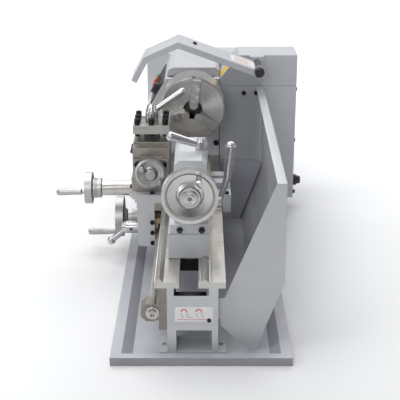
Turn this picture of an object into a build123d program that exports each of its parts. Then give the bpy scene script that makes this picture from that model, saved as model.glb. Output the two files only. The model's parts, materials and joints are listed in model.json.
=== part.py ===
from build123d import *
import math
import os

# Small bench metal lathe, millimetres.
# Origin: centre of the four bench bolt holes, on the underside of the chip tray.
# +X runs along the bed from the headstock to the tailstock, +Y to the back, +Z up.

# ---------------------------------------------------------------- driving dimensions
CENTRE_HEIGHT = 100.0        # spindle axis above the ways
WAY_Z = 100.0                # top of the flat ways above the tray's underside
AXIS_Y = -3.0                # spindle axis, measured from the bed's middle plane
AXIS_Z = WAY_Z + CENTRE_HEIGHT

BED_RIGHT = 310.0            # tailstock end of the bed
BED_LEFT = -330.0            # headstock end of the bed
CHUCK_FACE = -102.0          # front face of the chuck body
CHUCK_R = 50.0
HEAD_RIGHT = -180.0          # headstock face behind the chuck
HEAD_LEFT = BED_LEFT
FOOT_X = 290.0               # bench bolts, half of their spacing along the bed
FOOT_Y = 35.0                # bench bolts, half of their spacing across the bed
BOLT_HOLE_R = 3.3

CARRIAGE_X = 10.0            # middle of the carriage, cross slide and tool post
TOOL_Y = -61.0               # middle of the tool post and the compound slide
LEAD_Y = -48.5               # leadscrew axis
LEAD_Z = 59.5
LEAD_R = 5.5

FIT = 0.05                   # radial clearance of a shaft in its bearing
GAP = 0.3                    # clearance between sliding or passing faces

GEAR_MODULE = 1.5            # change gears behind the end cover
SPINDLE_TEETH = 40
IDLER_TEETH = 60
LEAD_TEETH = 40
RACK_MODULE = 1.25           # carriage rack and its pinion
PINION_TEETH = 18
PRESSURE_ANGLE = math.radians(20.0)
BACKLASH = 0.25              # taken off each tooth's thickness

MOTOR_Y = 98.0               # motor axis
MOTOR_Z = 76.0
MOTOR_SHAFT_R = 6.0

PARTS = {}


# ---------------------------------------------------------------- shape helpers
def block(x, y, z):
    """A box from three (low, high) pairs."""
    size = [high - low for low, high in (x, y, z)]
    middle = [(low + high) / 2 for low, high in (x, y, z)]
    return Pos(*middle) * Box(*size)


def prism_x(points, x0, x1):
    """A (y, z) outline carried along X."""
    face = make_face(Polyline(*points, close=True))
    return extrude(Plane.YZ.offset(x0) * face, x1 - x0)


def prism_y(points, y0, y1):
    """An (x, z) outline carried along Y."""
    face = make_face(Polyline(*points, close=True))
    return extrude(Plane.XZ.offset(-y0) * face, y0 - y1)


def prism_z(points, z0, z1):
    """An (x, y) outline carried along Z."""
    face = make_face(Polyline(*points, close=True))
    return extrude(Plane.XY.offset(z0) * face, z1 - z0)


def turned(origin, direction, outline):
    """A closed (distance along, radius) outline turned about an axis."""
    way = Vector(*direction).normalized()
    side = Vector(0, 0, 1) if abs(way.Z) < 0.9 else Vector(1, 0, 0)
    plane = Plane(origin=origin, x_dir=way, z_dir=way.cross(side))
    face = plane * make_face(Polyline(*outline, close=True))
    return revolve(face, Axis(origin, tuple(way)), 360)


def rod(start, end, radius):
    """A round bar between two points."""
    a, b = Vector(*start), Vector(*end)
    way = b - a
    return extrude(Plane(origin=a, z_dir=way) * Circle(radius), way.length)


def taper_rod(start, end, r0, r1):
    """A round bar between two points whose radius changes evenly."""
    length = (Vector(*end) - Vector(*start)).length
    way = Vector(*end) - Vector(*start)
    return turned(start, tuple(way), [(0, 0), (length, 0), (length, r1), (0, r0)])


def ball(centre, radius):
    return Pos(*centre) * Sphere(radius)


def cap_screw(at, way, head_r=4.0, head=4.0, shank_r=None, shank=0.0):
    """A socket head cap screw whose head stands on a face at this point."""
    unit = Vector(*way).normalized()
    base = Vector(*at)
    top = base + unit * head
    screw = rod(tuple(base), tuple(top), head_r)
    plane = Plane(origin=top, z_dir=unit)
    screw -= extrude(plane * RegularPolygon(head_r * 0.58, 6), -head * 0.6)
    if shank_r:
        screw += rod(tuple(base - unit * shank), tuple(base + unit * 0.5), shank_r)
    return screw


def gear_outline(module, teeth, phase):
    """Points of an involute gear about its centre, with one tooth centred at the phase angle."""
    pitch_r = module * teeth / 2
    base_r = pitch_r * math.cos(PRESSURE_ANGLE)
    tip_r = pitch_r + 0.95 * module
    root_r = pitch_r - 1.2 * module
    half_pitch = (math.pi * module / 2 - BACKLASH) / 2 / pitch_r
    involute_pitch = math.tan(PRESSURE_ANGLE) - PRESSURE_ANGLE
    low_r = max(base_r, root_r) + 0.001
    flank = []
    for step in range(5):
        r = low_r + (tip_r - low_r) * step / 4
        angle = math.acos(base_r / r)
        flank.append((r, half_pitch + involute_pitch - (math.tan(angle) - angle)))
    points = []
    for tooth in range(teeth):
        middle = phase + tooth * 2 * math.pi / teeth
        foot = flank[0][1]
        side = [(root_r, foot)] + flank
        for r, half in side:
            points.append((r * math.cos(middle - half), r * math.sin(middle - half)))
        for r, half in reversed(side):
            points.append((r * math.cos(middle + half), r * math.sin(middle + half)))
    return points


def gear_x(module, teeth, phase, x0, x1, y, z, bore):
    """A spur gear whose axis lies along X."""
    outline = [(y + u, z + v) for u, v in gear_outline(module, teeth, phase)]
    return prism_x(outline, x0, x1) - rod((x0 - 1, y, z), (x1 + 1, y, z), bore)


def loop_round(circles, x0, x1, grow_in, grow_out):
    """A belt round several (y, z, radius) pulleys."""
    rings = []
    for grow in (grow_out, grow_in):
        edges = [(Pos(y, z) * Circle(r + grow)).edges()[0] for y, z, r in circles]
        rings.append(make_hull(edges))
    face = rings[0] - rings[1]
    return extrude(Plane.YZ.offset(x0) * face, x1 - x0)


def group(*shapes):
    """Separate solids that share one node."""
    solids = [solid for shape in shapes for solid in shape.solids()]
    return Compound(children=solids)


# ---------------------------------------------------------------- bed, feet, tray
FRONT_V = (-46.0, -34.0, -40.0, WAY_Z + 5.0)       # y low, y high, apex y, apex z
INNER_V = (8.5, 21.5, 15.0, WAY_Z + 4.0)
BED_GAP = (-16.0, 7.0)                             # slot between the ways
BED_OUT = (-31.0, 31.0)                            # outer faces of the side walls
BED_IN = (-22.5, 19.5)                             # inner faces of the side walls
BED_BOTTOM = 42.5
BED_WALL = 12.0                                    # end walls
BED_RIBS = (-150.0, 0.0, 150.0)
RIB_TOP = 74.0
FOOT_PAD = 8.0                                     # thickness of the bed's floor over each foot
SLAB_Z = 92.0                                      # underside of the ways
WAY_REAR = 40.0
FOOT_HALF = 20.0                                   # half of a foot's width along the bed
FOOT_BRIDGE_Z = BED_BOTTOM - 7.0                   # underside of a foot's bridge
TRAY_X = (-390.0, 333.0)
TRAY_Y = (-100.0, 121.0)
TRAY_Z = 10.5                                      # rim of the tray
TRAY_SHEET = 1.5


def vee(v, grow=0.0, foot=0.0):
    """Triangle of a V way, grown for clearance."""
    low, high, apex_y, apex_z = v
    return [(low - grow, WAY_Z - foot), (high + grow, WAY_Z - foot), (apex_y, apex_z + grow * 1.6)]


def make_bed():
    """Ways on two side walls, joined by end walls and ribs, open underneath between the feet."""
    left, right = BED_LEFT, BED_RIGHT
    bed = block((left, right), (FRONT_V[0], WAY_REAR), (SLAB_Z, WAY_Z))
    bed += prism_x(vee(FRONT_V, foot=1), left, right)
    bed += prism_x(vee(INNER_V, foot=1), left, right)
    bed += block((left, right), BED_OUT, (BED_BOTTOM, SLAB_Z + 1))
    bed -= block((left + BED_WALL, right - BED_WALL), BED_IN, (BED_BOTTOM - 1, SLAB_Z))
    bed -= block((left + BED_WALL, right + 1), BED_GAP, (SLAB_Z - 1, WAY_Z + 1))
    # the end wall is cut away for the clamp plate
    bed -= block((right - BED_WALL - 1, right + 1), BED_IN, (SLAB_Z - 10, SLAB_Z))
    for x in BED_RIBS:
        bed += block((x - 4, x + 4), BED_OUT, (BED_BOTTOM, RIB_TOP))
    for x in (-FOOT_X, FOOT_X):
        bed += block((x - FOOT_HALF, x + FOOT_HALF), BED_OUT, (BED_BOTTOM, BED_BOTTOM + FOOT_PAD))
    # relief groove behind the inner V way
    bed -= block((left - 1, right + 1), (21.6, 23.6), (WAY_Z - 2, WAY_Z + 1))
    return bed


def make_foot(x):
    """A bridge-shaped foot with a wide flange that the bench bolts pass through."""
    width = (x - FOOT_HALF, x + FOOT_HALF)
    foot = block(width, BED_OUT, (5, BED_BOTTOM))
    foot -= block((width[0] - 1, width[1] + 1), (-20, 23.5), (5.5, FOOT_BRIDGE_Z))
    foot += block(width, (-41, 41), (TRAY_SHEET, 6))
    for y in (-FOOT_Y, FOOT_Y):
        foot -= rod((x, y, 0), (x, y, 10), BOLT_HOLE_R)
    return foot


def tray_pocket(grow):
    """The tray's sunken floor, wider at its top, grown to its outside by the sheet's thickness."""
    faces = []
    for z, inset_x, inset_y in ((TRAY_SHEET - grow, 21, 26), (TRAY_Z + 1, 10, 12)):
        width = TRAY_X[1] - TRAY_X[0] - 2 * (inset_x - grow)
        depth = TRAY_Y[1] - TRAY_Y[0] - 2 * (inset_y - grow)
        faces.append(Pos(sum(TRAY_X) / 2, sum(TRAY_Y) / 2, z) * Rectangle(width, depth))
    return loft(faces)


def make_tray():
    tray = block(TRAY_X, TRAY_Y, (0, TRAY_Z)) - tray_pocket(0)
    under = block(
        (TRAY_X[0] + TRAY_SHEET, TRAY_X[1] - TRAY_SHEET),
        (TRAY_Y[0] + TRAY_SHEET, TRAY_Y[1] - TRAY_SHEET),
        (-1, TRAY_Z - TRAY_SHEET),
    )
    tray -= under - tray_pocket(TRAY_SHEET)
    for x in (-FOOT_X, FOOT_X):
        for y in (-FOOT_Y, FOOT_Y):
            tray -= rod((x, y, -1), (x, y, 3), BOLT_HOLE_R)
    return tray


# ---------------------------------------------------------------- rack, leadscrew
RACK_X = (-120.0, 255.0)
HAND_X = -18.0               # carriage handwheel axis
HAND_Z = 54.5
HAND_MODULE = 1.0            # gears inside the apron
HAND_TEETH = 18
DRIVEN_TEETH = 36
PINION_Z = 72.3              # rack pinion shaft
PINION_R = RACK_MODULE * PINION_TEETH / 2
APRON_CENTRES = HAND_MODULE * (HAND_TEETH + DRIVEN_TEETH) / 2
PINION_X = HAND_X + math.sqrt(APRON_CENTRES**2 - (PINION_Z - HAND_Z) ** 2)
RACK_PITCH_Z = PINION_Z + PINION_R


def make_rack():
    rack = block(RACK_X, (-42, -31), (RACK_PITCH_Z + 1.2 * RACK_MODULE, SLAB_Z))
    pitch = math.pi * RACK_MODULE
    slope = math.tan(PRESSURE_ANGLE)
    tip, root = 0.95 * RACK_MODULE, 1.2 * RACK_MODULE + 0.2
    half = (pitch / 2 - BACKLASH) / 2
    first = math.ceil((RACK_X[0] - PINION_X) / pitch + 0.5)
    last = math.floor((RACK_X[1] - PINION_X) / pitch - 0.5)
    for tooth in range(first, last):
        x = PINION_X + (tooth + 0.5) * pitch
        outline = [
            (x - half - root * slope, RACK_PITCH_Z + root),
            (x - half + tip * slope, RACK_PITCH_Z - tip),
            (x + half - tip * slope, RACK_PITCH_Z - tip),
            (x + half + root * slope, RACK_PITCH_Z + root),
        ]
        rack += prism_y(outline, -42, -31)
    return rack


def make_brackets():
    """Leadscrew bearings: an eight-sided boss on a flange at each end."""
    pieces = []
    for x0, x1, low, high in ((288, 310, 36, SLAB_Z), (-150, -132, 40, 79)):
        boss = extrude(
            Plane.YZ.offset(x0) * Pos(LEAD_Y - 2.5, LEAD_Z) * Rot(0, 0, 22.5) * RegularPolygon(12.8, 8),
            x1 - x0,
        )
        bracket = boss + block((x0, x1), (-41, -31), (low, high))
        bracket += block((x0, x1), (-52, -38), (LEAD_Z - 10, LEAD_Z + 10))
        bracket -= rod((x0 - 1, LEAD_Y, LEAD_Z), (x1 + 1, LEAD_Y, LEAD_Z), LEAD_R + FIT)
        pieces.append(bracket)
    return group(*pieces)


def make_leadscrew():
    start, end = -356.0, 307.0
    screw = rod((start, LEAD_Y, LEAD_Z), (end, LEAD_Y, LEAD_Z), LEAD_R)
    socket = Plane(origin=(end, LEAD_Y, LEAD_Z), z_dir=(1, 0, 0))
    screw -= extrude(socket * RegularPolygon(2.6, 6), -5)
    # collars that stop the screw from moving endways
    for x0, x1 in ((280, 287.7), (-131.7, -125)):
        screw += rod((x0, LEAD_Y, LEAD_Z), (x1, LEAD_Y, LEAD_Z), 8.5)
    return screw


# ---------------------------------------------------------------- headstock
HEAD_TOP = 230.0
HEAD_OUT = [(-84, 98), (-84, 160), (-76, 180), (-47, HEAD_TOP), (40, HEAD_TOP), (40, 98)]
PANEL_LOW, PANEL_HIGH = Vector(0, -76, 180), Vector(0, -47, HEAD_TOP)   # sloping face
PANEL_SHARE = 0.5            # the controls sit this share of the way up the sloping face
PANEL_LIFT = 2.0             # thickness of the control panel
CONTROLS = {"speed_knob": -210.0, "stop_button": -250.0, "start_button": -285.0}
STEM_R = 3.0
BEARING_R = 24.0
SPINDLE_R = 15.0
BORE_R = 10.0


def make_headstock():
    body = prism_x(HEAD_OUT, HEAD_LEFT, HEAD_RIGHT)
    inner = [(-76, 112), (-76, 158), (-70, 176), (-43, HEAD_TOP + 1), (32, HEAD_TOP + 1), (32, 112)]
    body -= prism_x(inner, HEAD_LEFT + 14, HEAD_RIGHT - 14)
    # the underside straddles the bed: it rests on the flats and is cut clear of both V ways
    body -= block((HEAD_LEFT - 1, HEAD_RIGHT + 1), (FRONT_V[0] - 0.5, WAY_REAR + 1), (90, WAY_Z))
    for v in (FRONT_V, INNER_V):
        body -= prism_x(vee(v, GAP, 1), HEAD_LEFT - 1, HEAD_RIGHT + 1)
    body -= rod((HEAD_LEFT - 1, AXIS_Y, AXIS_Z), (HEAD_LEFT + 12, AXIS_Y, AXIS_Z), BEARING_R)
    body -= rod((HEAD_RIGHT - 12, AXIS_Y, AXIS_Z), (HEAD_RIGHT + 1, AXIS_Y, AXIS_Z), BEARING_R)
    body -= rod((HEAD_LEFT, AXIS_Y, AXIS_Z), (HEAD_RIGHT, AXIS_Y, AXIS_Z), SPINDLE_R + 4)
    for x in CONTROLS.values():
        body -= rod(panel_point(x, PANEL_SHARE, -12), panel_point(x, PANEL_SHARE, 2), STEM_R + GAP)
    return body


def make_lid():
    """Top cover, a shallow pan that overhangs the front edge."""
    x0, x1 = HEAD_LEFT, HEAD_RIGHT - 18
    outline = [(-47, HEAD_TOP), (40, HEAD_TOP), (40, 240), (34, 245), (-35, 245), (-44, 241)]
    lid = prism_x(outline, x0, x1)
    hollow = [(-40, HEAD_TOP - 1), (36, HEAD_TOP - 1), (36, 239), (32, 242), (-33, 242), (-39, 239)]
    return lid - prism_x(hollow, x0 + 3, x1 - 3)


def make_spindle():
    outline = [
        (-374, BORE_R), (-374, SPINDLE_R), (-170, SPINDLE_R), (-170, 26), (-162, 26), (-162, BORE_R),
    ]
    return turned((0, AXIS_Y, AXIS_Z), (1, 0, 0), outline)


def make_bearings():
    pieces = []
    for x0, x1 in ((HEAD_LEFT, HEAD_LEFT + 12), (HEAD_RIGHT - 12, HEAD_RIGHT)):
        ring = rod((x0, AXIS_Y, AXIS_Z), (x1, AXIS_Y, AXIS_Z), BEARING_R)
        ring -= rod((x0 - 1, AXIS_Y, AXIS_Z), (x1 + 1, AXIS_Y, AXIS_Z), SPINDLE_R + FIT)
        pieces.append(ring)
    return group(*pieces)


# ---------------------------------------------------------------- chuck
JAW_ANGLES = (82.0, 202.0, 322.0)
JAW_WIDTH = 13.0
SLOT_DEPTH = 14.0
SCROLL_PITCH = 5.0


def about_spindle(shape, degrees):
    """Turns a shape made at angle 0, along +Y, about the spindle axis."""
    return shape.rotate(Axis((0, AXIS_Y, AXIS_Z), (1, 0, 0)), degrees)


def make_chuck():
    back = CHUCK_FACE - 56
    outline = [
        (back, 17), (back, CHUCK_R - 1), (back + 1, CHUCK_R), (CHUCK_FACE - 1.5, CHUCK_R),
        (CHUCK_FACE, CHUCK_R - 1.5), (CHUCK_FACE, 15), (CHUCK_FACE - 16, 12), (back + 6, 12), (back + 6, 17),
    ]
    chuck = turned((0, AXIS_Y, AXIS_Z), (1, 0, 0), outline)
    floor = CHUCK_FACE - SLOT_DEPTH
    cavity = [(floor - 10.3, 15.7), (floor, 15.7), (floor, 40.3), (floor - 10.3, 40.3)]
    chuck -= turned((0, AXIS_Y, AXIS_Z), (1, 0, 0), cavity)
    half = JAW_WIDTH / 2 + GAP
    for angle in JAW_ANGLES:
        slot = block((floor, CHUCK_FACE + 1), (AXIS_Y, AXIS_Y + 60), (AXIS_Z - half, AXIS_Z + half))
        rail_z = (AXIS_Z - half - 2.5, AXIS_Z + half + 2.5)
        rail = block((floor + 3, floor + 7), (AXIS_Y, AXIS_Y + 60), rail_z)
        chuck -= about_spindle(slot + rail, angle)
    for angle in JAW_ANGLES:
        key = rod((floor - 20, AXIS_Y + 41, AXIS_Z), (floor - 20, AXIS_Y + 60, AXIS_Z), 5.5)
        chuck -= about_spindle(key, angle + 60)
    return chuck


def make_backplate():
    back = CHUCK_FACE - 56
    outline = [(-162, 12), (-162, 48), (back, 48), (back, 16.8), (back + 5.5, 16.8), (back + 5.5, 12)]
    return turned((0, AXIS_Y, AXIS_Z), (1, 0, 0), outline)


def make_scroll():
    floor = CHUCK_FACE - SLOT_DEPTH
    front = floor - GAP
    outline = [(front - 9.5, 16), (front, 16), (front, 40), (front - 9.5, 40)]
    return turned((0, AXIS_Y, AXIS_Z), (1, 0, 0), outline)


def make_jaw(angle):
    """A three-step jaw with a wedge tip and a rail on each side."""
    half = JAW_WIDTH / 2
    floor = CHUCK_FACE - SLOT_DEPTH + GAP
    tip, out = 6.0, 46.0
    steps = [(tip, 22), (17, 22), (17, 15), (27, 15), (27, 8), (38, 8), (38, 2), (out, 2)]
    outline = [(floor, AXIS_Y + tip)]
    outline += [(CHUCK_FACE + up, AXIS_Y + r) for r, up in steps]
    outline += [(floor, AXIS_Y + out)]
    jaw = prism_z(outline, AXIS_Z - half, AXIS_Z + half)
    rail_z = (AXIS_Z - half - 2.2, AXIS_Z + half + 2.2)
    jaw += block((floor + 3, floor + 6.4), (AXIS_Y + 14, AXIS_Y + out), rail_z)
    for side in (-1, 1):
        wedge = [
            (AXIS_Y + tip - 1, AXIS_Z + side * 2.2),
            (AXIS_Y + tip - 1, AXIS_Z + side * (half + 4)),
            (AXIS_Y + tip + 4.5, AXIS_Z + side * (half + 4)),
            (AXIS_Y + tip + 4.5, AXIS_Z + side * half),
        ]
        jaw -= prism_x(wedge, floor - 1, CHUCK_FACE + 30)
    return about_spindle(jaw, angle)


# ---------------------------------------------------------------- belt drive, change gears, motor
GEAR_X = (-344.0, -336.0)
PULLEY_X = (-366.0, -348.0)
STUD_R = 6.0                 # stud that the idler gear turns on
SPINDLE_PULLEY_R = 30.0
MOTOR_PULLEY_R = 14.0
END_PLATE = (-334.0, -330.0)
COVER_END = -389.0           # outer face of the gear cover
COVER_Y = (-86.0, 146.0)
COVER_Z = (24.0, 240.0)
COVER_SHEET = 2.5
COVER_HOLE_R = 16.0


def idler_place():
    """Centre of the idler that meshes with both the spindle gear and the leadscrew gear."""
    down = Vector(LEAD_Y - AXIS_Y, LEAD_Z - AXIS_Z)
    first = GEAR_MODULE * (SPINDLE_TEETH + IDLER_TEETH) / 2
    second = GEAR_MODULE * (LEAD_TEETH + IDLER_TEETH) / 2
    along = (first**2 - second**2 + down.length**2) / (2 * down.length)
    aside = math.sqrt(first**2 - along**2)
    unit = down.normalized()
    return AXIS_Y + unit.X * along - unit.Y * aside, AXIS_Z + unit.Y * along + unit.X * aside


def mesh_phase(from_phase, from_teeth, to_teeth, direction):
    """Phase of a gear that meshes with another one that lies in the opposite direction."""
    share = (direction - from_phase) * from_teeth / (2 * math.pi) % 1
    return direction + math.pi - 2 * math.pi / to_teeth * (0.5 - share)


IDLER_Y, IDLER_Z = idler_place()
SPINDLE_PHASE = 0.0
IDLER_PHASE = mesh_phase(
    SPINDLE_PHASE, SPINDLE_TEETH, IDLER_TEETH, math.atan2(IDLER_Z - AXIS_Z, IDLER_Y - AXIS_Y)
)
LEAD_PHASE = mesh_phase(
    IDLER_PHASE, IDLER_TEETH, LEAD_TEETH, math.atan2(LEAD_Z - IDLER_Z, LEAD_Y - IDLER_Y)
)


def pulley(y, z, radius, bore):
    """A flat belt pulley with a flange at each side."""
    x0, x1 = PULLEY_X
    outline = [
        (x0, bore), (x0, radius + 4), (x0 + 2, radius + 4), (x0 + 2, radius),
        (x1 - 2, radius), (x1 - 2, radius + 4), (x1, radius + 4), (x1, bore),
    ]
    return turned((0, y, z), (1, 0, 0), outline)


def make_end_plate():
    plate = block(END_PLATE, COVER_Y, COVER_Z)
    plate -= rod((-340, AXIS_Y, AXIS_Z), (-320, AXIS_Y, AXIS_Z), SPINDLE_R + 1)
    plate -= rod((-340, MOTOR_Y, MOTOR_Z), (-320, MOTOR_Y, MOTOR_Z), 12)
    plate -= rod((-340, LEAD_Y, LEAD_Z), (-320, LEAD_Y, LEAD_Z), LEAD_R + 1)
    # stud that the idler gear turns on
    plate += rod((GEAR_X[0] - 3, IDLER_Y, IDLER_Z), (END_PLATE[0] + 1, IDLER_Y, IDLER_Z), STUD_R)
    return plate


def make_gear_cover():
    """Cover over the belt and the change gears, with a hole that lets bar stock into the spindle."""
    shell = block((COVER_END, END_PLATE[0]), COVER_Y, COVER_Z)
    shell = fillet(shell.edges().filter_by(Axis.X), 12)
    shell = fillet(shell.faces().sort_by(Axis.X)[0].edges(), 6)
    hollow = block(
        (COVER_END + COVER_SHEET, END_PLATE[0] + 1),
        (COVER_Y[0] + COVER_SHEET, COVER_Y[1] - COVER_SHEET),
        (COVER_Z[0] + COVER_SHEET, COVER_Z[1] - COVER_SHEET),
    )
    shell -= fillet(hollow.edges().filter_by(Axis.X), 10)
    return shell - rod((COVER_END - 10, AXIS_Y, AXIS_Z), (COVER_END + 9, AXIS_Y, AXIS_Z), COVER_HOLE_R)


def make_motor():
    x0, x1 = END_PLATE[1], -190.0
    motor = rod((x0, MOTOR_Y, MOTOR_Z), (x1, MOTOR_Y, MOTOR_Z), 38)
    for x in range(-312, -204, 12):
        motor += rod((x, MOTOR_Y, MOTOR_Z), (x + 4, MOTOR_Y, MOTOR_Z), 41)
    motor += rod((x0, MOTOR_Y, MOTOR_Z), (x0 + 8, MOTOR_Y, MOTOR_Z), 43)
    bore_r = MOTOR_SHAFT_R + FIT
    bore = [(x0 - 1, 0), (x0 - 1, bore_r), (x0 + 60, bore_r), (x0 + 60, 0)]
    return motor - turned((0, MOTOR_Y, MOTOR_Z), (1, 0, 0), bore)


def make_motor_shaft():
    shaft = rod((PULLEY_X[0] - 2, MOTOR_Y, MOTOR_Z), (END_PLATE[1] + 58, MOTOR_Y, MOTOR_Z), MOTOR_SHAFT_R)
    return group(shaft, pulley(MOTOR_Y, MOTOR_Z, MOTOR_PULLEY_R, MOTOR_SHAFT_R))


# ---------------------------------------------------------------- rear box, splash guard, fan duct
BOX_X = (-245.0, -175.0)
BOX_Y = (41.0, 165.0)
BOX_Z = (26.0, 270.0)
BOX_SEAM = 220.0
SHEET = 1.5
GUARD_PIVOT = (99.0, 263.0)  # chuck guard's hinge axis, in y and z
PIVOT_R = 5.0
GLAND_X, GLAND_Z = -220.0, 42.5


def box_outline(inset):
    y0, y1 = BOX_Y[0] + inset, BOX_Y[1] - inset
    z0, z1 = BOX_Z[0] + inset, BOX_Z[1] - inset
    return [(y0, z0), (y1, z0), (y1, z1), (71 + inset * 0.4, z1), (y0, 232 - inset * 0.4)]


def make_rear_box():
    """Electrical box behind the headstock: a body and a top section, with the motor in its lower half."""
    shell = prism_x(box_outline(0), *BOX_X)
    shell -= prism_x(box_outline(SHEET), BOX_X[0] + SHEET, BOX_X[1] - SHEET)
    shell -= rod((BOX_X[0] - 1, MOTOR_Y, MOTOR_Z), (BOX_X[0] + 3, MOTOR_Y, MOTOR_Z), 44)
    everything = (-300, 300)
    body = shell - block(everything, everything, (BOX_SEAM, 300))
    top = shell - block(everything, everything, (0, BOX_SEAM + 0.4))
    # boss that carries the chuck guard's pivot
    pivot_y, pivot_z = GUARD_PIVOT
    boss_y, boss_z = pivot_y, pivot_z - 3
    boss = block((BOX_X[1], BOX_X[1] + 12), (boss_y - 11, boss_y + 11), (boss_z - 10, boss_z + 10))
    top += boss
    top -= rod((-190, pivot_y, pivot_z), (-160, pivot_y, pivot_z), PIVOT_R + FIT)
    return group(body, top)


def make_gland():
    """Cable gland in the back of the electrical box: a flange, a nut and a sleeve for the cord."""
    outline = [(0, 0), (0, 11), (3, 11), (3, 9.5), (9, 9.5), (9, 8), (16, 6), (16, 4), (9, 4), (9, 0)]
    return turned((GLAND_X, BOX_Y[1], GLAND_Z), (0, 1, 0), outline)


GUARD_BACK = [(99, 221), (110.5, 221), (111.5, 94), (91, 38.5), (78.5, 1.5)]
WING_EDGE = [(70, 1.5), (34, 36.5), (32.5, 73), (39, 73.5)]
SPLASH_X = (-170.0, 298.0)


def make_splash_guard():
    """One folded sheet: top strip, tall back, two bends towards the tray, and a wing at the open end."""
    inner = [(77, 1.5), (89.6, 39), (110, 94.4), (109, 219.5), (99, 219.5)]
    sheet = prism_x(GUARD_BACK + inner, *SPLASH_X)
    wing = prism_x(GUARD_BACK + WING_EDGE, SPLASH_X[1] - SHEET, SPLASH_X[1])
    # tab that folds back against the bed
    tab = block((SPLASH_X[1] - 16, SPLASH_X[1]), (31, 32.6), (46, 72))
    join = block((SPLASH_X[1] - SHEET, SPLASH_X[1]), (31, 35), (46, 72))
    guard = sheet + wing + tab + join
    guard -= rod((SPLASH_X[1] - 9, 28, 59), (SPLASH_X[1] - 9, 36, 59), 2.4)
    return guard


def make_fan_duct():
    """Sheet cover over the motor's fan end, folded to follow the splash guard."""
    x0, x1 = BOX_X[1], -140.0
    outer = [(59, 1.5), (75, 1.5), (88, 39), (108, 94), (59, 95)]
    inner = [(60.5, 3), (74, 3), (86.5, 39.4), (106, 93), (60.5, 93.5)]
    return prism_x(outer, x0, x1) - prism_x(inner, x0 - 1, x1 - SHEET)


# ---------------------------------------------------------------- chuck guard
HOOD_X = (-155.0, -90.0)
HOOD_LINE = [(99, 263), (-25, 308), (-78, 284), (-97, 249)]
HOOD_FLANGE = 9.0            # depth of the folded side flanges


def band(points, thickness):
    """Outline of a folded sheet that follows points, with its thickness on the under side."""
    lower = []
    for index, point in enumerate(points):
        normals = []
        for a, b in zip(points, points[1:]):
            if point in (a, b):
                length = math.dist(a, b)
                normals.append(((b[1] - a[1]) / length, -(b[0] - a[0]) / length))
        u = sum(n[0] for n in normals) / len(normals)
        v = sum(n[1] for n in normals) / len(normals)
        scale = thickness / (u * u + v * v)
        lower.append((point[0] - u * scale, point[1] - v * scale))
    return points + lower[::-1]


def make_hood():
    hood = prism_x(band(HOOD_LINE, SHEET), *HOOD_X)
    for x0 in (HOOD_X[0], HOOD_X[1] - SHEET):
        hood += prism_x(band(HOOD_LINE, HOOD_FLANGE), x0, x0 + SHEET)
        hood += rod((x0, *GUARD_PIVOT), (x0 + SHEET, *GUARD_PIVOT), 9)
    return hood - rod((-160, *GUARD_PIVOT), (-80, *GUARD_PIVOT), PIVOT_R)


def make_pivot_rod():
    pin = rod((BOX_X[1] + 2, *GUARD_PIVOT), (HOOD_X[1] + 1, *GUARD_PIVOT), PIVOT_R)
    outline = [(0, 0), (0, 7.5), (9, 7.5), (11, 6), (11, 0)]
    knob = turned((HOOD_X[1], *GUARD_PIVOT), (1, 0, 0), outline)
    return pin + knob


# ---------------------------------------------------------------- controls on the sloping panel
def panel_point(x, share, lift=0.0):
    """A point on the headstock's sloping face, this share of the way up it."""
    spot = PANEL_LOW + (PANEL_HIGH - PANEL_LOW) * share
    way = panel_way()
    return (x, spot.Y + way[1] * lift, spot.Z + way[2] * lift)


def panel_way():
    rise = (PANEL_HIGH - PANEL_LOW).normalized()
    return (0.0, -rise.Z, rise.Y)


def make_panel():
    way = panel_way()
    corners = []
    for share in (0.12, 0.88):
        for lift in (0.0, PANEL_LIFT):
            _, y, z = panel_point(0, share, lift)
            corners.append((y, z))
    outline = [corners[0], corners[1], corners[3], corners[2]]
    plate = prism_x(outline, HEAD_LEFT + 15, HEAD_RIGHT - 5)
    for x in CONTROLS.values():
        plate -= rod(panel_point(x, PANEL_SHARE, -2), panel_point(x, PANEL_SHARE, 6), STEM_R + GAP)
    return plate


def make_control(name):
    """A knob or button: a cap on a short stem that fits the panel's hole."""
    x = CONTROLS[name]
    base = panel_point(x, PANEL_SHARE, PANEL_LIFT)
    caps = {
        "speed_knob": [(0.5, 0), (0.5, 12), (1.5, 12), (2.5, 10), (7.5, 9.4), (8, 8.6), (8, 0)],
        "stop_button": [(3.5, 0), (3.5, 6), (4.2, 10.5), (5.5, 11), (7.2, 9), (8, 5), (8, 0)],
        "start_button": [(3, 0), (3, 7.5), (5, 7), (5.5, 6), (5.5, 0)],
    }
    stem = rod(panel_point(x, PANEL_SHARE, 0.2), panel_point(x, PANEL_SHARE, PANEL_LIFT + 5), STEM_R)
    return turned(base, panel_way(), caps[name]) + stem


# ---------------------------------------------------------------- carriage
SADDLE_X = (-34.0, 60.0)
SCREW_Z = 111.0              # cross feed screw axis
SCREW_R = 4.5
DOVE_Z = (118.0, 128.0)
DOVE_LOW, DOVE_HIGH = 20.0, 25.0   # half widths of the dovetail rail at its foot and its top
SLIDE_TOP = 140.0                  # top of the cross slide
APRON_Y = (-82.0, -57.0)
APRON_Z = (38.0, 105.7)
LEVER_X = 40.0                     # half-nut lever axis
LEVER_Z = 60.5


def dovetail(grow, z0, z1, y0, y1):
    """The cross slide's dovetail rail, wider at its top, or the groove that clears it."""
    low, high = DOVE_LOW + grow, DOVE_HIGH + grow
    outline = [
        (CARRIAGE_X - low, z0), (CARRIAGE_X + low, z0),
        (CARRIAGE_X + high, z1), (CARRIAGE_X - high, z1),
    ]
    return prism_y(outline, y0, y1)


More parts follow.
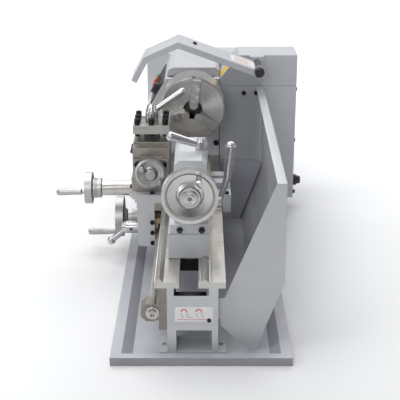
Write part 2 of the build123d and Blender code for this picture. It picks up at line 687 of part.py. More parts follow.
def make_saddle():
    saddle = block(SADDLE_X, (-85, 53), (WAY_Z + GAP, DOVE_Z[0]))
    saddle += block(SADDLE_X, (WAY_REAR + 0.7, 53), (SLAB_Z - GAP, WAY_Z + 1))
    saddle -= block((-40, 70), (-90, FRONT_V[0] - 0.7), (90, APRON_Z[1]))
    # waist at both ends of the rear half leaves the H shape of the casting
    for x0, x1 in ((SADDLE_X[0] - 1, -16), (36, SADDLE_X[1] + 1)):
        saddle -= block((x0, x1), (-20, 24), (90, 130))
    for v in (FRONT_V, INNER_V):
        saddle -= prism_x(vee(v, GAP, 1), -40, 70)
    saddle += dovetail(0, DOVE_Z[0] - 1, DOVE_Z[1], -60, 50)
    # slot for the cross feed nut
    saddle -= block((CARRIAGE_X - 6, CARRIAGE_X + 6), (-42, 50), (WAY_Z + 4, SLIDE_TOP))
    saddle -= rod((CARRIAGE_X, -90, SCREW_Z), (CARRIAGE_X, 60, SCREW_Z), SCREW_R + FIT)
    return saddle


def make_apron():
    apron = block((SADDLE_X[0], SADDLE_X[1]), APRON_Y, APRON_Z)
    apron = fillet(apron.edges().filter_by(Axis.X).sort_by(Axis.Z)[:2], 5)
    apron -= block((-28.5, 54), (-75, APRON_Y[1] + 1), (42.5, 100))
    apron -= rod((HAND_X, -90, HAND_Z), (HAND_X, -50, HAND_Z), 6 + FIT)
    apron -= rod((PINION_X, -79.2, PINION_Z), (PINION_X, -50, PINION_Z), 5 + FIT)
    apron -= rod((LEVER_X, -90, LEVER_Z), (LEVER_X, -50, LEVER_Z), 5 + FIT)
    return apron


def make_keepers():
    """Strips under the ways that hold the saddle down."""
    rear = block(SADDLE_X, (32.5, 53), (84, SLAB_Z - GAP))
    front = block((26, SADDLE_X[1]), (-57, -43), (94, 105.7))
    front -= block((20, 70), (FRONT_V[0] - 0.7, -40), (SLAB_Z - 1, 110))
    return group(rear, front)


def make_cross_housing():
    """Bearing sleeve of the cross feed screw, with its square flange."""
    sleeve = rod((CARRIAGE_X, -136, SCREW_Z), (CARRIAGE_X, -88, SCREW_Z), 11.5)
    sleeve += block((-9, 29), (-91, -85), (99.5, 122.5))
    sleeve += block((-4, 24), (-95, -86), (101, 108))
    return sleeve - rod((CARRIAGE_X, -140, SCREW_Z), (CARRIAGE_X, -80, SCREW_Z), SCREW_R + FIT)


def make_carriage_screws():
    screws = [cap_screw((SADDLE_X[1], -60.5, z), (1, 0, 0), 3.2, 3.6, 1.5, 4) for z in (44, 60, 76)]
    screws += [cap_screw((x, -91, 118.5), (0, -1, 0), 2.4, 3, 1.2, 4) for x in (-5, 25)]
    for x in (-30, 55):
        screws += [cap_screw((x, y, DOVE_Z[0]), (0, 0, 1), 3.2, 3.5, 1.6, 4) for y in (-60, 47)]
    return group(*screws)


def handle_y(x, z, y_face, length, radius):
    """A tapered crank handle that stands out from a wheel towards the operator."""
    outline = [
        (0, 0), (0, radius * 0.55), (3, radius * 0.55), (5, radius * 0.8),
        (length - 4, radius), (length - 1, radius * 0.9), (length, radius * 0.6), (length, 0),
    ]
    return turned((x, y_face, z), (0, -1, 0), outline)


def gear_y(module, teeth, phase, y0, y1, x, z):
    """A spur gear whose axis lies along Y."""
    outline = [(x + u, z + v) for u, v in gear_outline(module, teeth, phase)]
    return prism_y(outline, y0, y1)


# directions in the apron's (x, z) plane
HAND_PHASE = 0.0
DRIVEN_PHASE = mesh_phase(
    HAND_PHASE, HAND_TEETH, DRIVEN_TEETH, math.atan2(PINION_Z - HAND_Z, PINION_X - HAND_X)
)


def make_carriage_wheel():
    """Dished handwheel on its hub and collar, with the shaft and small gear inside the apron."""
    outline = [
        (62, 0), (62, 6), (82.3, 6), (82.3, 12), (96, 12), (96, 9.5), (101, 9.5),
        (106, 14), (109, 25), (107.5, 27.5), (107.5, 31), (119, 31), (119, 27.5), (113, 25), (111, 14),
        (113, 9), (113, 0),
    ]
    wheel = turned((HAND_X, 0, HAND_Z), (0, -1, 0), outline)
    wheel += gear_y(HAND_MODULE, HAND_TEETH, HAND_PHASE, -73, -66, HAND_X, HAND_Z)
    return group(wheel, handle_y(HAND_X, HAND_Z - 25, -117, 46, 5.5))


def make_pinion_shaft():
    """Shaft with the large gear in the apron and the pinion that runs along the rack."""
    shaft = rod((PINION_X, -79, PINION_Z), (PINION_X, -32, PINION_Z), 5)
    shaft += gear_y(HAND_MODULE, DRIVEN_TEETH, DRIVEN_PHASE, -73, -66, PINION_X, PINION_Z)
    shaft += gear_y(RACK_MODULE, PINION_TEETH, math.pi / 2, -42, -32.5, PINION_X, PINION_Z)
    return shaft


def make_half_nut_lever():
    """Hub on the apron with a straight lever that ends in a ball."""
    hub = [
        (-82.3, 0), (-82.3, 9), (-100, 9), (-106, 7), (-106, 0),
    ]
    lever = turned((LEVER_X, 0, LEVER_Z), (0, 1, 0), hub)
    lever += rod((LEVER_X, -83, LEVER_Z), (LEVER_X, -66, LEVER_Z), 5)
    lever += taper_rod((LEVER_X, -99, LEVER_Z - 2), (LEVER_X, -122, 39.5), 3.6, 4.6)
    lever += ball((LEVER_X, -122.5, 39), 6.2)
    return lever


NUT_OPEN = 5.0


def make_half_nut(side):
    """One half of the split nut, standing open clear of the leadscrew."""
    centre = LEAD_Z + side * NUT_OPEN
    z_range = sorted((centre + side * 0.4, centre + side * 13.5))
    nut = block((30, 50), (-56.5, -42.5), tuple(z_range))
    return nut - rod((20, LEAD_Y, centre), (60, LEAD_Y, centre), LEAD_R + GAP)


# ---------------------------------------------------------------- cross slide and compound
SLIDE_X = (-26.0, 46.0)
BASE_Z = (SLIDE_TOP, 168.0)
TOP_Z = 187.0                # top of the top slide
COMPOUND_Z = 156.0           # compound screw axis
COMPOUND_X = (-36.0, 56.0)   # length of the compound base and the top slide
BRACKET_X = (COMPOUND_X[1], COMPOUND_X[1] + 8.0)   # end bracket that carries the compound screw
FEED_R = 4.5                 # compound screw
TOOL_HALF = 26.0             # half of the tool post's width, and of the slides under it
POST_Z = (187.3, 190.0, 201.5, 214.0)   # tool post: base, slot floor, slot roof, top
POST_CORE = 11.0             # half of the solid middle between the slots
POST_STUD_R = 6.0
CLAMP_TIP_Z = 197.0          # lower end of the tool clamp screws
CLAMP_R = 3.5
CLAMP_HEAD_Z = (215.5, 223.0)
CLAMP_HEAD_R = 4.2


def make_cross_slide():
    slide = block(SLIDE_X, (-90, 24), (DOVE_Z[0] + GAP, SLIDE_TOP))
    return slide - dovetail(0.5, DOVE_Z[0] - 1, DOVE_Z[1] + GAP, -95, 30)


def make_cross_nut():
    nut = block((CARRIAGE_X - 5.4, CARRIAGE_X + 5.4), (-10, 8), (105, DOVE_Z[1] + GAP))
    return nut - rod((CARRIAGE_X, -20, SCREW_Z), (CARRIAGE_X, 20, SCREW_Z), SCREW_R + 0.1)


def make_cross_wheel():
    """Cross feed screw with its graduated collar, handwheel and handle."""
    outline = [
        (-50, 0), (-50, SCREW_R), (136.3, SCREW_R), (136.3, 9), (137, 14.5), (149, 14.5), (150, 8.5),
        (152, 8.5), (152, 20), (150.5, 21), (150.5, 23.5), (161, 23.5), (161, 20), (158, 18), (158, 7),
        (162, 7), (162, 0),
    ]
    wheel = turned((CARRIAGE_X, 0, SCREW_Z), (0, -1, 0), outline)
    return group(wheel, handle_y(CARRIAGE_X + 15, SCREW_Z - 1, -161, 41, 5.5))


def make_compound_base():
    width = (TOOL_Y - TOOL_HALF, TOOL_Y + TOOL_HALF)
    base = block(COMPOUND_X, width, (150, BASE_Z[1] - 6))
    base += rod((CARRIAGE_X, TOOL_Y, SLIDE_TOP + GAP), (CARRIAGE_X, TOOL_Y, 151), 27)
    rail_z = (BASE_Z[1] - 7, 176)
    rail = [
        (TOOL_Y - 12, rail_z[0]), (TOOL_Y + 12, rail_z[0]),
        (TOOL_Y + 17, rail_z[1]), (TOOL_Y - 17, rail_z[1]),
    ]
    base += prism_x(rail, *COMPOUND_X)
    base += block(BRACKET_X, (TOOL_Y - 25, TOOL_Y + 25), (146, 172))
    base -= rod((-40, TOOL_Y, COMPOUND_Z), (70, TOOL_Y, COMPOUND_Z), FEED_R + FIT)
    return base


def make_compound_screws():
    screws = [cap_screw((BRACKET_X[1], TOOL_Y + y, 166), (1, 0, 0), 4, 4, 2, 5) for y in (-19, 19)]
    return group(*screws)


def make_compound_wheel():
    """Small ball-crank wheel: a domed disc with two short posts."""
    outline = [
        (-30, 0), (-30, FEED_R), (BRACKET_X[1] + GAP, FEED_R), (BRACKET_X[1] + GAP, 9), (70, 11),
        (70, 20.5), (72, 22), (76, 22), (78, 19), (77, 11), (80, 9), (84, 7), (84, 0),
    ]
    wheel = turned((0, TOOL_Y, COMPOUND_Z), (1, 0, 0), outline)
    posts = []
    for y, z, length in ((-12, 9, 12), (12, -11, 10)):
        base = (76, TOOL_Y + y, COMPOUND_Z + z)
        post = [(-3, 0), (-3, 3), (length - 2, 4), (length, 3), (length, 0)]
        posts.append(turned(base, (1, 0, 0), post))
    return wheel + posts[0] + posts[1]


def make_top_slide():
    width = (TOOL_Y - TOOL_HALF, TOOL_Y + TOOL_HALF)
    slide = block((COMPOUND_X[0], COMPOUND_X[1] - GAP), width, (162.3, TOP_Z))
    rail = [(TOOL_Y - 12.4, 161), (TOOL_Y + 12.4, 161), (TOOL_Y + 17.6, 176.3), (TOOL_Y - 17.6, 176.3)]
    slide -= prism_x(rail, -40, 60)
    stud = rod((CARRIAGE_X, TOOL_Y, TOP_Z - 1), (CARRIAGE_X, TOOL_Y, 233), POST_STUD_R)
    return slide + stud


def make_gib_screws():
    """Gib adjusting screws with lock nuts, along the operator's side of the top slide."""
    face = TOOL_Y - TOOL_HALF
    places = [(CARRIAGE_X + 14 * step, face, 172) for step in (-1, 0, 1)]
    return group(*[cap_screw(place, (0, -1, 0), 2.6, 5, 1.5, 6) for place in places])


def square(centre_x, centre_y, half, z0, z1):
    return block((centre_x - half, centre_x + half), (centre_y - half, centre_y + half), (z0, z1))


def make_toolpost():
    """Four-way tool post: a base, a solid core and a roof, with a slot along each side."""
    base, slot_low, slot_high, top = POST_Z
    post = square(CARRIAGE_X, TOOL_Y, TOOL_HALF, base, slot_low)
    post += square(CARRIAGE_X, TOOL_Y, POST_CORE, slot_low - 0.5, slot_high + 0.5)
    post += square(CARRIAGE_X, TOOL_Y, TOOL_HALF, slot_high, top)
    for x, y in toolpost_screw_places():
        post -= rod((x, y, slot_high - 1), (x, y, top + 1), CLAMP_R)
    return post - rod((CARRIAGE_X, TOOL_Y, base - 5), (CARRIAGE_X, TOOL_Y, top + 5), POST_STUD_R + FIT)


def toolpost_screw_places():
    """Two clamp screws over each of the four slots, eight places about the post's middle."""
    places = []
    for u, v in ((-20, -20), (-20, 0), (-20, 20), (0, 20), (20, 20), (20, 0), (20, -20), (0, -20)):
        places.append((CARRIAGE_X + u, TOOL_Y + v))
    return places


def make_toolpost_screws():
    screws = []
    for x, y in toolpost_screw_places():
        screw = rod((x, y, CLAMP_TIP_Z), (x, y, CLAMP_HEAD_Z[0] + 1), CLAMP_R)
        screw += rod((x, y, CLAMP_HEAD_Z[0]), (x, y, CLAMP_HEAD_Z[1]), CLAMP_HEAD_R)
        screws.append(screw)
    return group(*screws)


def make_toolpost_lever():
    """Clamp lever: a hub on the stud, an arm rising to the back and a long grip."""
    hub = [(214.4, 0), (214.4, 9.5), (229, 9), (236, 7), (239, 4), (239, 0)]
    end = (CARRIAGE_X - 8, TOOL_Y + 44, 255.5)
    lever = turned((CARRIAGE_X, TOOL_Y, 0), (0, 0, 1), hub)
    lever += taper_rod((CARRIAGE_X, TOOL_Y + 4, 230), end, 4.4, 5.2)
    lever += ball(end, 5.2)
    return lever - rod((CARRIAGE_X, TOOL_Y, 210), (CARRIAGE_X, TOOL_Y, 233.5), POST_STUD_R + FIT)


# ---------------------------------------------------------------- tailstock
TAIL_X = (131.0, 241.0)
SEAM_Z = 133.5
QUILL_R = 13.0
QUILL_FRONT = 112.0
CLAMP_X, CLAMP_Y = 180.0, -4.5   # clamp bolt under the tailstock
CLAMP_BOLT_R = 5.0
LOCK_X, LOCK_Y = 200.0, 11.0     # quill lock
CAM_Z = 153.0                    # axis of the clamp lever at the back


def make_tail_base():
    base = block(TAIL_X, (-31, 21), (WAY_Z + GAP, SEAM_Z))
    base -= prism_x(vee(INNER_V, GAP, 1), TAIL_X[0] - 1, TAIL_X[1] + 1)
    base -= rod((CLAMP_X, CLAMP_Y, 90), (CLAMP_X, CLAMP_Y, 127), CLAMP_BOLT_R)
    return base


def make_tail_body():
    body = block(TAIL_X, (-29, 21), (SEAM_Z, 146))
    column = [(-23, 145), (20, 145), (17, 186), (17, 222), (11, 228), (-17, 228), (-23, 222), (-23, 186)]
    body += prism_x(column, TAIL_X[0] + 6, TAIL_X[1] - 6)
    body += rod((TAIL_X[0], AXIS_Y, AXIS_Z), (TAIL_X[1] + 12, AXIS_Y, AXIS_Z), 21)
    body += rod((LOCK_X, LOCK_Y, 215), (LOCK_X, LOCK_Y, 232), 8)
    body += rod((CLAMP_X, 18, CAM_Z), (CLAMP_X, 24.5, CAM_Z), 11)
    body -= rod((TAIL_X[0] - 1, AXIS_Y, AXIS_Z), (TAIL_X[1] + 2, AXIS_Y, AXIS_Z), QUILL_R + FIT)
    body -= rod((TAIL_X[1], AXIS_Y, AXIS_Z), (TAIL_X[1] + 20, AXIS_Y, AXIS_Z), 6 + FIT)
    body -= rod((LOCK_X, LOCK_Y, 212), (LOCK_X, LOCK_Y, 240), 4 + FIT)
    body -= rod((CLAMP_X, 12, CAM_Z), (CLAMP_X, 30, CAM_Z), 5 + FIT)
    return body


def make_tail_clamp():
    """Clamp plate under the ways and the bolt that draws it up."""
    plate = block((CLAMP_X - 20, CLAMP_X + 20), (-21, 17), (83, SLAB_Z - GAP))
    plate -= rod((CLAMP_X, CLAMP_Y, 70), (CLAMP_X, CLAMP_Y, 100), CLAMP_BOLT_R)
    bolt = rod((CLAMP_X, CLAMP_Y, 79), (CLAMP_X, CLAMP_Y, 126), CLAMP_BOLT_R)
    head = Plane.XY.offset(74) * Pos(CLAMP_X, CLAMP_Y) * RegularPolygon(8.5, 6)
    return group(plate, bolt + extrude(head, 9))


def make_tail_screws():
    places = [(-16.5, 139.5), (11, 139.5)]
    return group(*[cap_screw((TAIL_X[1], y, z), (1, 0, 0), 3.6, 3.6, 2, 6) for y, z in places])


def make_quill():
    outline = [
        (QUILL_FRONT, 8.9), (QUILL_FRONT, 12), (QUILL_FRONT + 1, QUILL_R), (238, QUILL_R), (238, 6.5),
        (182, 6.5), (182, 5), (178, 5), (178, 7.3),
    ]
    return turned((0, AXIS_Y, AXIS_Z), (1, 0, 0), outline)


TAIL_HANDLE_ANGLE = math.radians(67.5)
TAIL_HANDLE_R = 26.5


def make_tail_wheel():
    """Quill screw with its dished handwheel, stepped hub and crank handle."""
    outline = [
        (190, 0), (190, 6), (253.3, 6), (253.3, 12), (264, 13.5), (276, 13.5), (277, 22), (279, 31),
        (276, 32), (276, 34), (288, 34), (288, 30), (284, 27), (282, 17), (285, 13), (291, 12),
        (291, 8), (294, 8), (294, 0),
    ]
    wheel = turned((0, AXIS_Y, AXIS_Z), (1, 0, 0), outline)
    y = AXIS_Y + TAIL_HANDLE_R * math.cos(TAIL_HANDLE_ANGLE)
    z = AXIS_Z + TAIL_HANDLE_R * math.sin(TAIL_HANDLE_ANGLE)
    handle = [(0, 0), (0, 3), (5, 3.6), (26, 4.9), (29, 4.4), (29, 0)]
    return group(wheel, turned((286.5, y, z), (1, 0, 0), handle))


def make_quill_lock():
    """Lock lever on top of the tailstock: hub, and an arm that rises to the front."""
    hub = [(-20, 0), (-20, 4), (0.4, 4), (0.4, 8), (10, 7), (14, 5), (14, 0)]
    end = (LOCK_X + 6, LOCK_Y - 38, 250)
    lever = turned((LOCK_X, LOCK_Y, 232), (0, 0, 1), hub)
    lever += taper_rod((LOCK_X, LOCK_Y - 5, 238), end, 4.2, 6.0)
    lever += ball(end, 6.0)
    return lever


def make_tail_clamp_lever():
    """Clamp lever at the back: a hub, a thin rod and a fat grip that stands up beside the body."""
    hub = [(-2.5, 0), (-2.5, 9), (-14, 9), (-16, 7), (-16, 0)]
    end = (CLAMP_X, 48, 228)
    lever = turned((CLAMP_X, 22.3, CAM_Z), (0, -1, 0), hub)
    lever += rod((CLAMP_X, 14, CAM_Z), (CLAMP_X, 26, CAM_Z), 5)
    lever += taper_rod((CLAMP_X, 34, CAM_Z + 2), (CLAMP_X, 44, 187), 3.6, 4.6)
    lever += taper_rod((CLAMP_X, 44, 186), end, 5.2, 7.4)
    lever += ball(end, 7.4)
    return lever


# ---------------------------------------------------------------- fasteners on the fixed frame
def make_frame_screws():
    screws = [
        cap_screw((HEAD_RIGHT, 35, 122), (1, 0, 0), 4.5, 4, 2.5, 8),
        cap_screw((SPLASH_X[1] - 9, 32.6, 59), (0, 1, 0), 4.5, 4, 2.4, 6),
        cap_screw((BED_RIGHT, 20, 49.5), (1, 0, 0), 2.6, 1.6, 1.2, 5),
    ]
    screws += [cap_screw((BOX_X[1], y, 208), (1, 0, 0), 3.5, 2.5, 1.6, 1.5) for y in (79.5, 99.5)]
    screws += [cap_screw((-186, BOX_Y[1], z), (0, 1, 0), 3.2, 2.2, 1.4, 1.5) for z in (34, 125, 212)]
    for x in (-FOOT_X, FOOT_X):
        for y in (-8, 12):
            screws.append(cap_screw((x, y, FOOT_BRIDGE_Z), (0, 0, -1), 4.5, 4.5, 2.5, 12))
    return group(*screws)


def drill_for_screws(shape, screws):
    """Takes the screws' shanks out of the piece that they fasten."""
    return shape - screws


# ---------------------------------------------------------------- assembly
def build():
    frame_screws = make_frame_screws()
    carriage_screws = make_carriage_screws()
    compound_screws = make_compound_screws()
    gib_screws = make_gib_screws()
    tail_screws = make_tail_screws()

    PARTS["chip_tray"] = make_tray()
    feet = group(make_foot(-FOOT_X), make_foot(FOOT_X))
    PARTS["bed_feet"] = drill_for_screws(feet, frame_screws)
    PARTS["bed"] = drill_for_screws(make_bed(), frame_screws)
    PARTS["carriage_rack"] = make_rack()
    PARTS["leadscrew_brackets"] = make_brackets()
    PARTS["headstock_housing"] = drill_for_screws(make_headstock(), frame_screws)
    PARTS["headstock_lid"] = make_lid()
    PARTS["spindle_bearings"] = make_bearings()
    PARTS["control_panel"] = make_panel()
    PARTS["end_plate"] = make_end_plate()
    PARTS["gear_cover"] = make_gear_cover()
    PARTS["drive_motor"] = make_motor()
    PARTS["drive_belt"] = loop_round(
        [(AXIS_Y, AXIS_Z, SPINDLE_PULLEY_R), (MOTOR_Y, MOTOR_Z, MOTOR_PULLEY_R)],
        PULLEY_X[0] + 2.5, PULLEY_X[1] - 2.5, GAP, 3.0,
    )
    PARTS["rear_box"] = drill_for_screws(make_rear_box(), frame_screws)
    PARTS["cable_gland"] = make_gland()
    PARTS["splash_guard"] = make_splash_guard()
    PARTS["fan_duct"] = make_fan_duct()
    PARTS["frame_screws"] = frame_screws

    PARTS["spindle"] = make_spindle()
    PARTS["chuck_backplate"] = make_backplate()
    PARTS["chuck_body"] = make_chuck()
    PARTS["spindle_pulley_and_gear"] = group(
        pulley(AXIS_Y, AXIS_Z, SPINDLE_PULLEY_R, SPINDLE_R),
        gear_x(GEAR_MODULE, SPINDLE_TEETH, SPINDLE_PHASE, *GEAR_X, AXIS_Y, AXIS_Z, SPINDLE_R),
    )
    PARTS["chuck_scroll"] = make_scroll()
    for number, angle in enumerate(JAW_ANGLES, 1):
        PARTS[f"chuck_jaw_{number}"] = make_jaw(angle)
    PARTS["motor_shaft_pulley"] = make_motor_shaft()
    PARTS["idler_gear"] = gear_x(
        GEAR_MODULE, IDLER_TEETH, IDLER_PHASE, *GEAR_X, IDLER_Y, IDLER_Z, STUD_R + FIT
    )
    PARTS["leadscrew_and_gear"] = group(
        make_leadscrew(),
        gear_x(GEAR_MODULE, LEAD_TEETH, LEAD_PHASE, *GEAR_X, LEAD_Y, LEAD_Z, LEAD_R),
    )
    PARTS["guard_hood"] = make_hood()
    PARTS["guard_pivot_rod"] = make_pivot_rod()
    for name in CONTROLS:
        PARTS[name] = make_control(name)

    PARTS["saddle"] = drill_for_screws(make_saddle(), carriage_screws)
    PARTS["apron"] = drill_for_screws(make_apron(), carriage_screws)
    PARTS["saddle_keepers"] = make_keepers()
    PARTS["cross_screw_housing"] = drill_for_screws(make_cross_housing(), carriage_screws)
    PARTS["carriage_screws"] = carriage_screws
    PARTS["carriage_handwheel"] = make_carriage_wheel()
    PARTS["rack_pinion_shaft"] = make_pinion_shaft()
    PARTS["half_nut_lever"] = make_half_nut_lever()
    PARTS["half_nut_upper"] = make_half_nut(1)
    PARTS["half_nut_lower"] = make_half_nut(-1)
    PARTS["cross_handwheel"] = make_cross_wheel()
    PARTS["cross_slide"] = make_cross_slide()
    PARTS["cross_feed_nut"] = make_cross_nut()
    base = drill_for_screws(make_compound_base(), compound_screws)
    PARTS["compound_base"] = group(base, compound_screws)
    PARTS["compound_handwheel"] = make_compound_wheel()
    PARTS["top_slide"] = group(drill_for_screws(make_top_slide(), gib_screws), gib_screws)
    PARTS["toolpost"] = make_toolpost()
    PARTS["toolpost_screws"] = make_toolpost_screws()
    PARTS["toolpost_lever"] = make_toolpost_lever()

    PARTS["tailstock_base"] = make_tail_base()
    PARTS["tailstock_body"] = group(drill_for_screws(make_tail_body(), tail_screws), tail_screws)
    PARTS["tailstock_clamp"] = make_tail_clamp()
    PARTS["tailstock_handwheel"] = make_tail_wheel()
    PARTS["tailstock_quill"] = make_quill()
    PARTS["quill_lock_lever"] = make_quill_lock()
    PARTS["tailstock_clamp_lever"] = make_tail_clamp_lever()


build()
os.makedirs("parts", exist_ok=True)
for name, shape in PARTS.items():
    export_step(shape, f"parts/{name}.step")
print(len(PARTS), "nodes")
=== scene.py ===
import json
import math

import bmesh
import bpy
from mathutils import Matrix, Vector


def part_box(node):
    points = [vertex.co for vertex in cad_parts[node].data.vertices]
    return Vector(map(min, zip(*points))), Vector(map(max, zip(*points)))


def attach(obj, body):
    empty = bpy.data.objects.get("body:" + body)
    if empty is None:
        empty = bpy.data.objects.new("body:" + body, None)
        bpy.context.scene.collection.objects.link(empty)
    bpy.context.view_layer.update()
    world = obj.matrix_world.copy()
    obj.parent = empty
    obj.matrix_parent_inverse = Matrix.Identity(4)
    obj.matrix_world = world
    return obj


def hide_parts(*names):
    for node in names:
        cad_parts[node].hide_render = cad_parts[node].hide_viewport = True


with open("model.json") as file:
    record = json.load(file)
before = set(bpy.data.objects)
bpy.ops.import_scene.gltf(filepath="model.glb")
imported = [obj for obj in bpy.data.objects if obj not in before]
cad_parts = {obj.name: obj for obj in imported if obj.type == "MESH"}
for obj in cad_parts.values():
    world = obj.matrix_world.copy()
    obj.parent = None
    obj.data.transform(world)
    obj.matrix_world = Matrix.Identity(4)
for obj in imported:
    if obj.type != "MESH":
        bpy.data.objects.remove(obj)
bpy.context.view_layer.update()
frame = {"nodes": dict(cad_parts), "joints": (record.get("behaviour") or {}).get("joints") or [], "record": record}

# Looks of the bench lathe. Metres, in the CAD frame: +X to the tailstock, +Y to the back, +Z up.
MM = 0.001
RIGHT, LEFT = (1, 0, 0), (-1, 0, 0)
BACK, FRONT = (0, 1, 0), (0, -1, 0)
UP, DOWN = (0, 0, 1), (0, 0, -1)

# places on the machine
AXIS = (0.0, -0.003, 0.200)                  # spindle and tailstock line
LEADSCREW_AT = (0.0, -0.0485, 0.0595)
LEADSCREW_END_X = 0.310                      # where the lock nut's collar starts
WAY_Z = 0.100                                # top of the flat ways
WAY_PAINT_Z = 0.0925                         # below this the bed is painted
GAP_MIDDLE = 0.0045                          # the gap between the ways: its middle lies this far in front
GAP_HALF = 0.0213
TOOLPOST_SLOTS = (0.010, -0.061, 0.19575)    # middle of the tool post, at the height of its slots
TOOLPOST_SHADED_CORE = (0.0114, 0.0057)             # half width and half height of the core between the slots, where shade is painted near black
BRACKET_FACE_X, BRACKET_SCREW_Z = 0.064, 0.166
BRACKET_SCREW_OFFSET = 0.019                 # each side of the tool post's middle
TAIL_FACE_X, TAIL_SCREW_Z = 0.241, 0.1395
TAIL_SCREWS_Y = (-0.0165, 0.011)
GIB_SCREW_Z, GIB_SCREW_PITCH = 0.172, 0.014
BOX_FACE_X = -0.175                          # right side of the rear box
SPLASH_SCREW_Y = 0.0326                      # the splash guard's screw faces the back here
FOOT_BRIDGE_Z = 0.0355                       # the feet's screws face down here
CARRIAGE_FRONT_Y, SADDLE_TOP_Z = -0.091, 0.118
HOOD_MIDDLE_X = -0.1225
HOOD_PIVOT = Vector((HOOD_MIDDLE_X, 0.099, 0.263))
HOOD_BEND = Vector((HOOD_MIDDLE_X, -0.025, 0.308))
BOX_LABEL_AT = (-0.197, 0.0503, 0.2438)      # on the rear box's chamfer
BED_LABEL_YZ = (0.0016, 0.0574)              # on the end of the bed
TAIL_HANDLE_R, TAIL_HANDLE_ANGLE = 0.0265, math.radians(67.5)
HUB_RINGS = ((10.6, 0.291), (6.6, 0.294))    # radius in millimetres, and x in metres
HUB_END_X = 0.2941

WELD = 0.00002                               # vertices nearer than this are one
SMOOTH_ANGLE = math.radians(30)
EDGE_ANGLE = math.radians(32)
BODY_OF = {
    node: body
    for body, nodes in frame["record"]["behaviour"]["bodies"].items()
    for node in nodes
}


def middle(node):
    low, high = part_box(node)
    return (low + high) / 2


def joint_place(body):
    """Where the joint that carries this body stands."""
    return next(joint for joint in frame["joints"] if joint["child"] == body)["pos_m"]


# ---------------------------------------------------------------- shader helpers
class Shader:
    """A node material built up step by step around one Principled shader."""

    def __init__(self, name, colour, roughness, metallic=0.0):
        self.material = bpy.data.materials.new(name)
        self.material.use_nodes = True
        self.tree = self.material.node_tree
        self.shader = self.tree.nodes["Principled BSDF"]
        self.set("Base Color", (*colour, 1.0))
        self.set("Roughness", roughness)
        self.set("Metallic", metallic)
        self.object_space = self.add("ShaderNodeTexCoord").outputs["Object"]

    def set(self, socket, value):
        self.shader.inputs[socket].default_value = value

    def add(self, kind, **settings):
        node = self.tree.nodes.new(kind)
        for key, value in settings.items():
            setattr(node, key, value)
        return node

    def wire(self, source, target):
        self.tree.links.new(source, target)

    def stretched(self, scale):
        mapping = self.add("ShaderNodeMapping")
        mapping.inputs["Scale"].default_value = scale
        self.wire(self.object_space, mapping.inputs["Vector"])
        return mapping.outputs["Vector"]

    def noise(self, scale, detail=3.0, source=None, rough=0.55):
        node = self.add("ShaderNodeTexNoise")
        node.inputs["Scale"].default_value = scale
        node.inputs["Detail"].default_value = detail
        node.inputs["Roughness"].default_value = rough
        self.wire(source or self.object_space, node.inputs["Vector"])
        return node.outputs["Fac"]

    def ramp(self, source, low, high, first=0.0, last=1.0):
        node = self.add("ShaderNodeMapRange")
        node.clamp = True
        for socket, value in zip(("From Min", "From Max", "To Min", "To Max"), (low, high, first, last)):
            node.inputs[socket].default_value = value
        self.wire(source, node.inputs["Value"])
        return node.outputs["Result"]

    def math(self, operation, a, b=None):
        node = self.add("ShaderNodeMath", operation=operation)
        for index, value in enumerate((a, b)):
            if value is None:
                continue
            if isinstance(value, (int, float)):
                node.inputs[index].default_value = value
            else:
                self.wire(value, node.inputs[index])
        return node.outputs[0]

    def mix(self, share, first, second):
        node = self.add("ShaderNodeMix", data_type="RGBA", blend_type="MIX")
        self.wire(share, node.inputs[0])
        for socket, value in ((node.inputs[6], first), (node.inputs[7], second)):
            if isinstance(value, tuple):
                socket.default_value = (*value, 1.0)
            else:
                self.wire(value, socket)
        return node.outputs[2]

    def base(self, source):
        self.wire(source, self.shader.inputs["Base Color"])

    def rough(self, source):
        self.wire(source, self.shader.inputs["Roughness"])

    def bump(self, height, strength, distance, below=None):
        node = self.add("ShaderNodeBump")
        node.inputs["Strength"].default_value = strength
        node.inputs["Distance"].default_value = distance
        self.wire(height, node.inputs["Height"])
        if below is not None:
            self.wire(below, node.inputs["Normal"])
        self.wire(node.outputs["Normal"], self.shader.inputs["Normal"])
        return node.outputs["Normal"]

    def axes(self):
        node = self.add("ShaderNodeSeparateXYZ")
        self.wire(self.object_space, node.inputs["Vector"])
        return node.outputs


def shade(colour, factor):
    return tuple(min(1.0, c * factor) for c in colour)


def painted(name, colour, roughness, grain=0.12, cast=False):
    """Enamel: slight drift of tone, orange peel, dust in broad patches, and a pitted skin on castings."""
    s = Shader(name, colour, roughness)
    s.set("Specular IOR Level", 0.5)
    s.set("Coat Weight", 0.18)
    s.set("Coat Roughness", 0.22)
    drift = s.ramp(s.noise(9.0, 4.0), 0.3, 0.7)
    tone = s.mix(drift, shade(colour, 0.955), shade(colour, 1.03))
    dust = s.ramp(s.noise(38.0, 6.0, rough=0.7), 0.52, 0.78, 0.0, 0.35)
    tone = s.mix(dust, tone, shade(colour, 0.86))
    specks = s.ramp(s.noise(700.0, 2.0), 0.70, 0.78, 0.0, 0.5)
    s.base(s.mix(specks, tone, shade(colour, 0.6)))
    s.rough(s.ramp(s.noise(24.0, 5.0), 0.3, 0.7, roughness - 0.06, roughness + 0.12))
    peel = s.bump(s.noise(420.0, 2.0), grain, 0.0004)
    if cast:
        s.bump(s.noise(130.0, 6.0, rough=0.65), 0.35, 0.0009, peel)
    return s.material


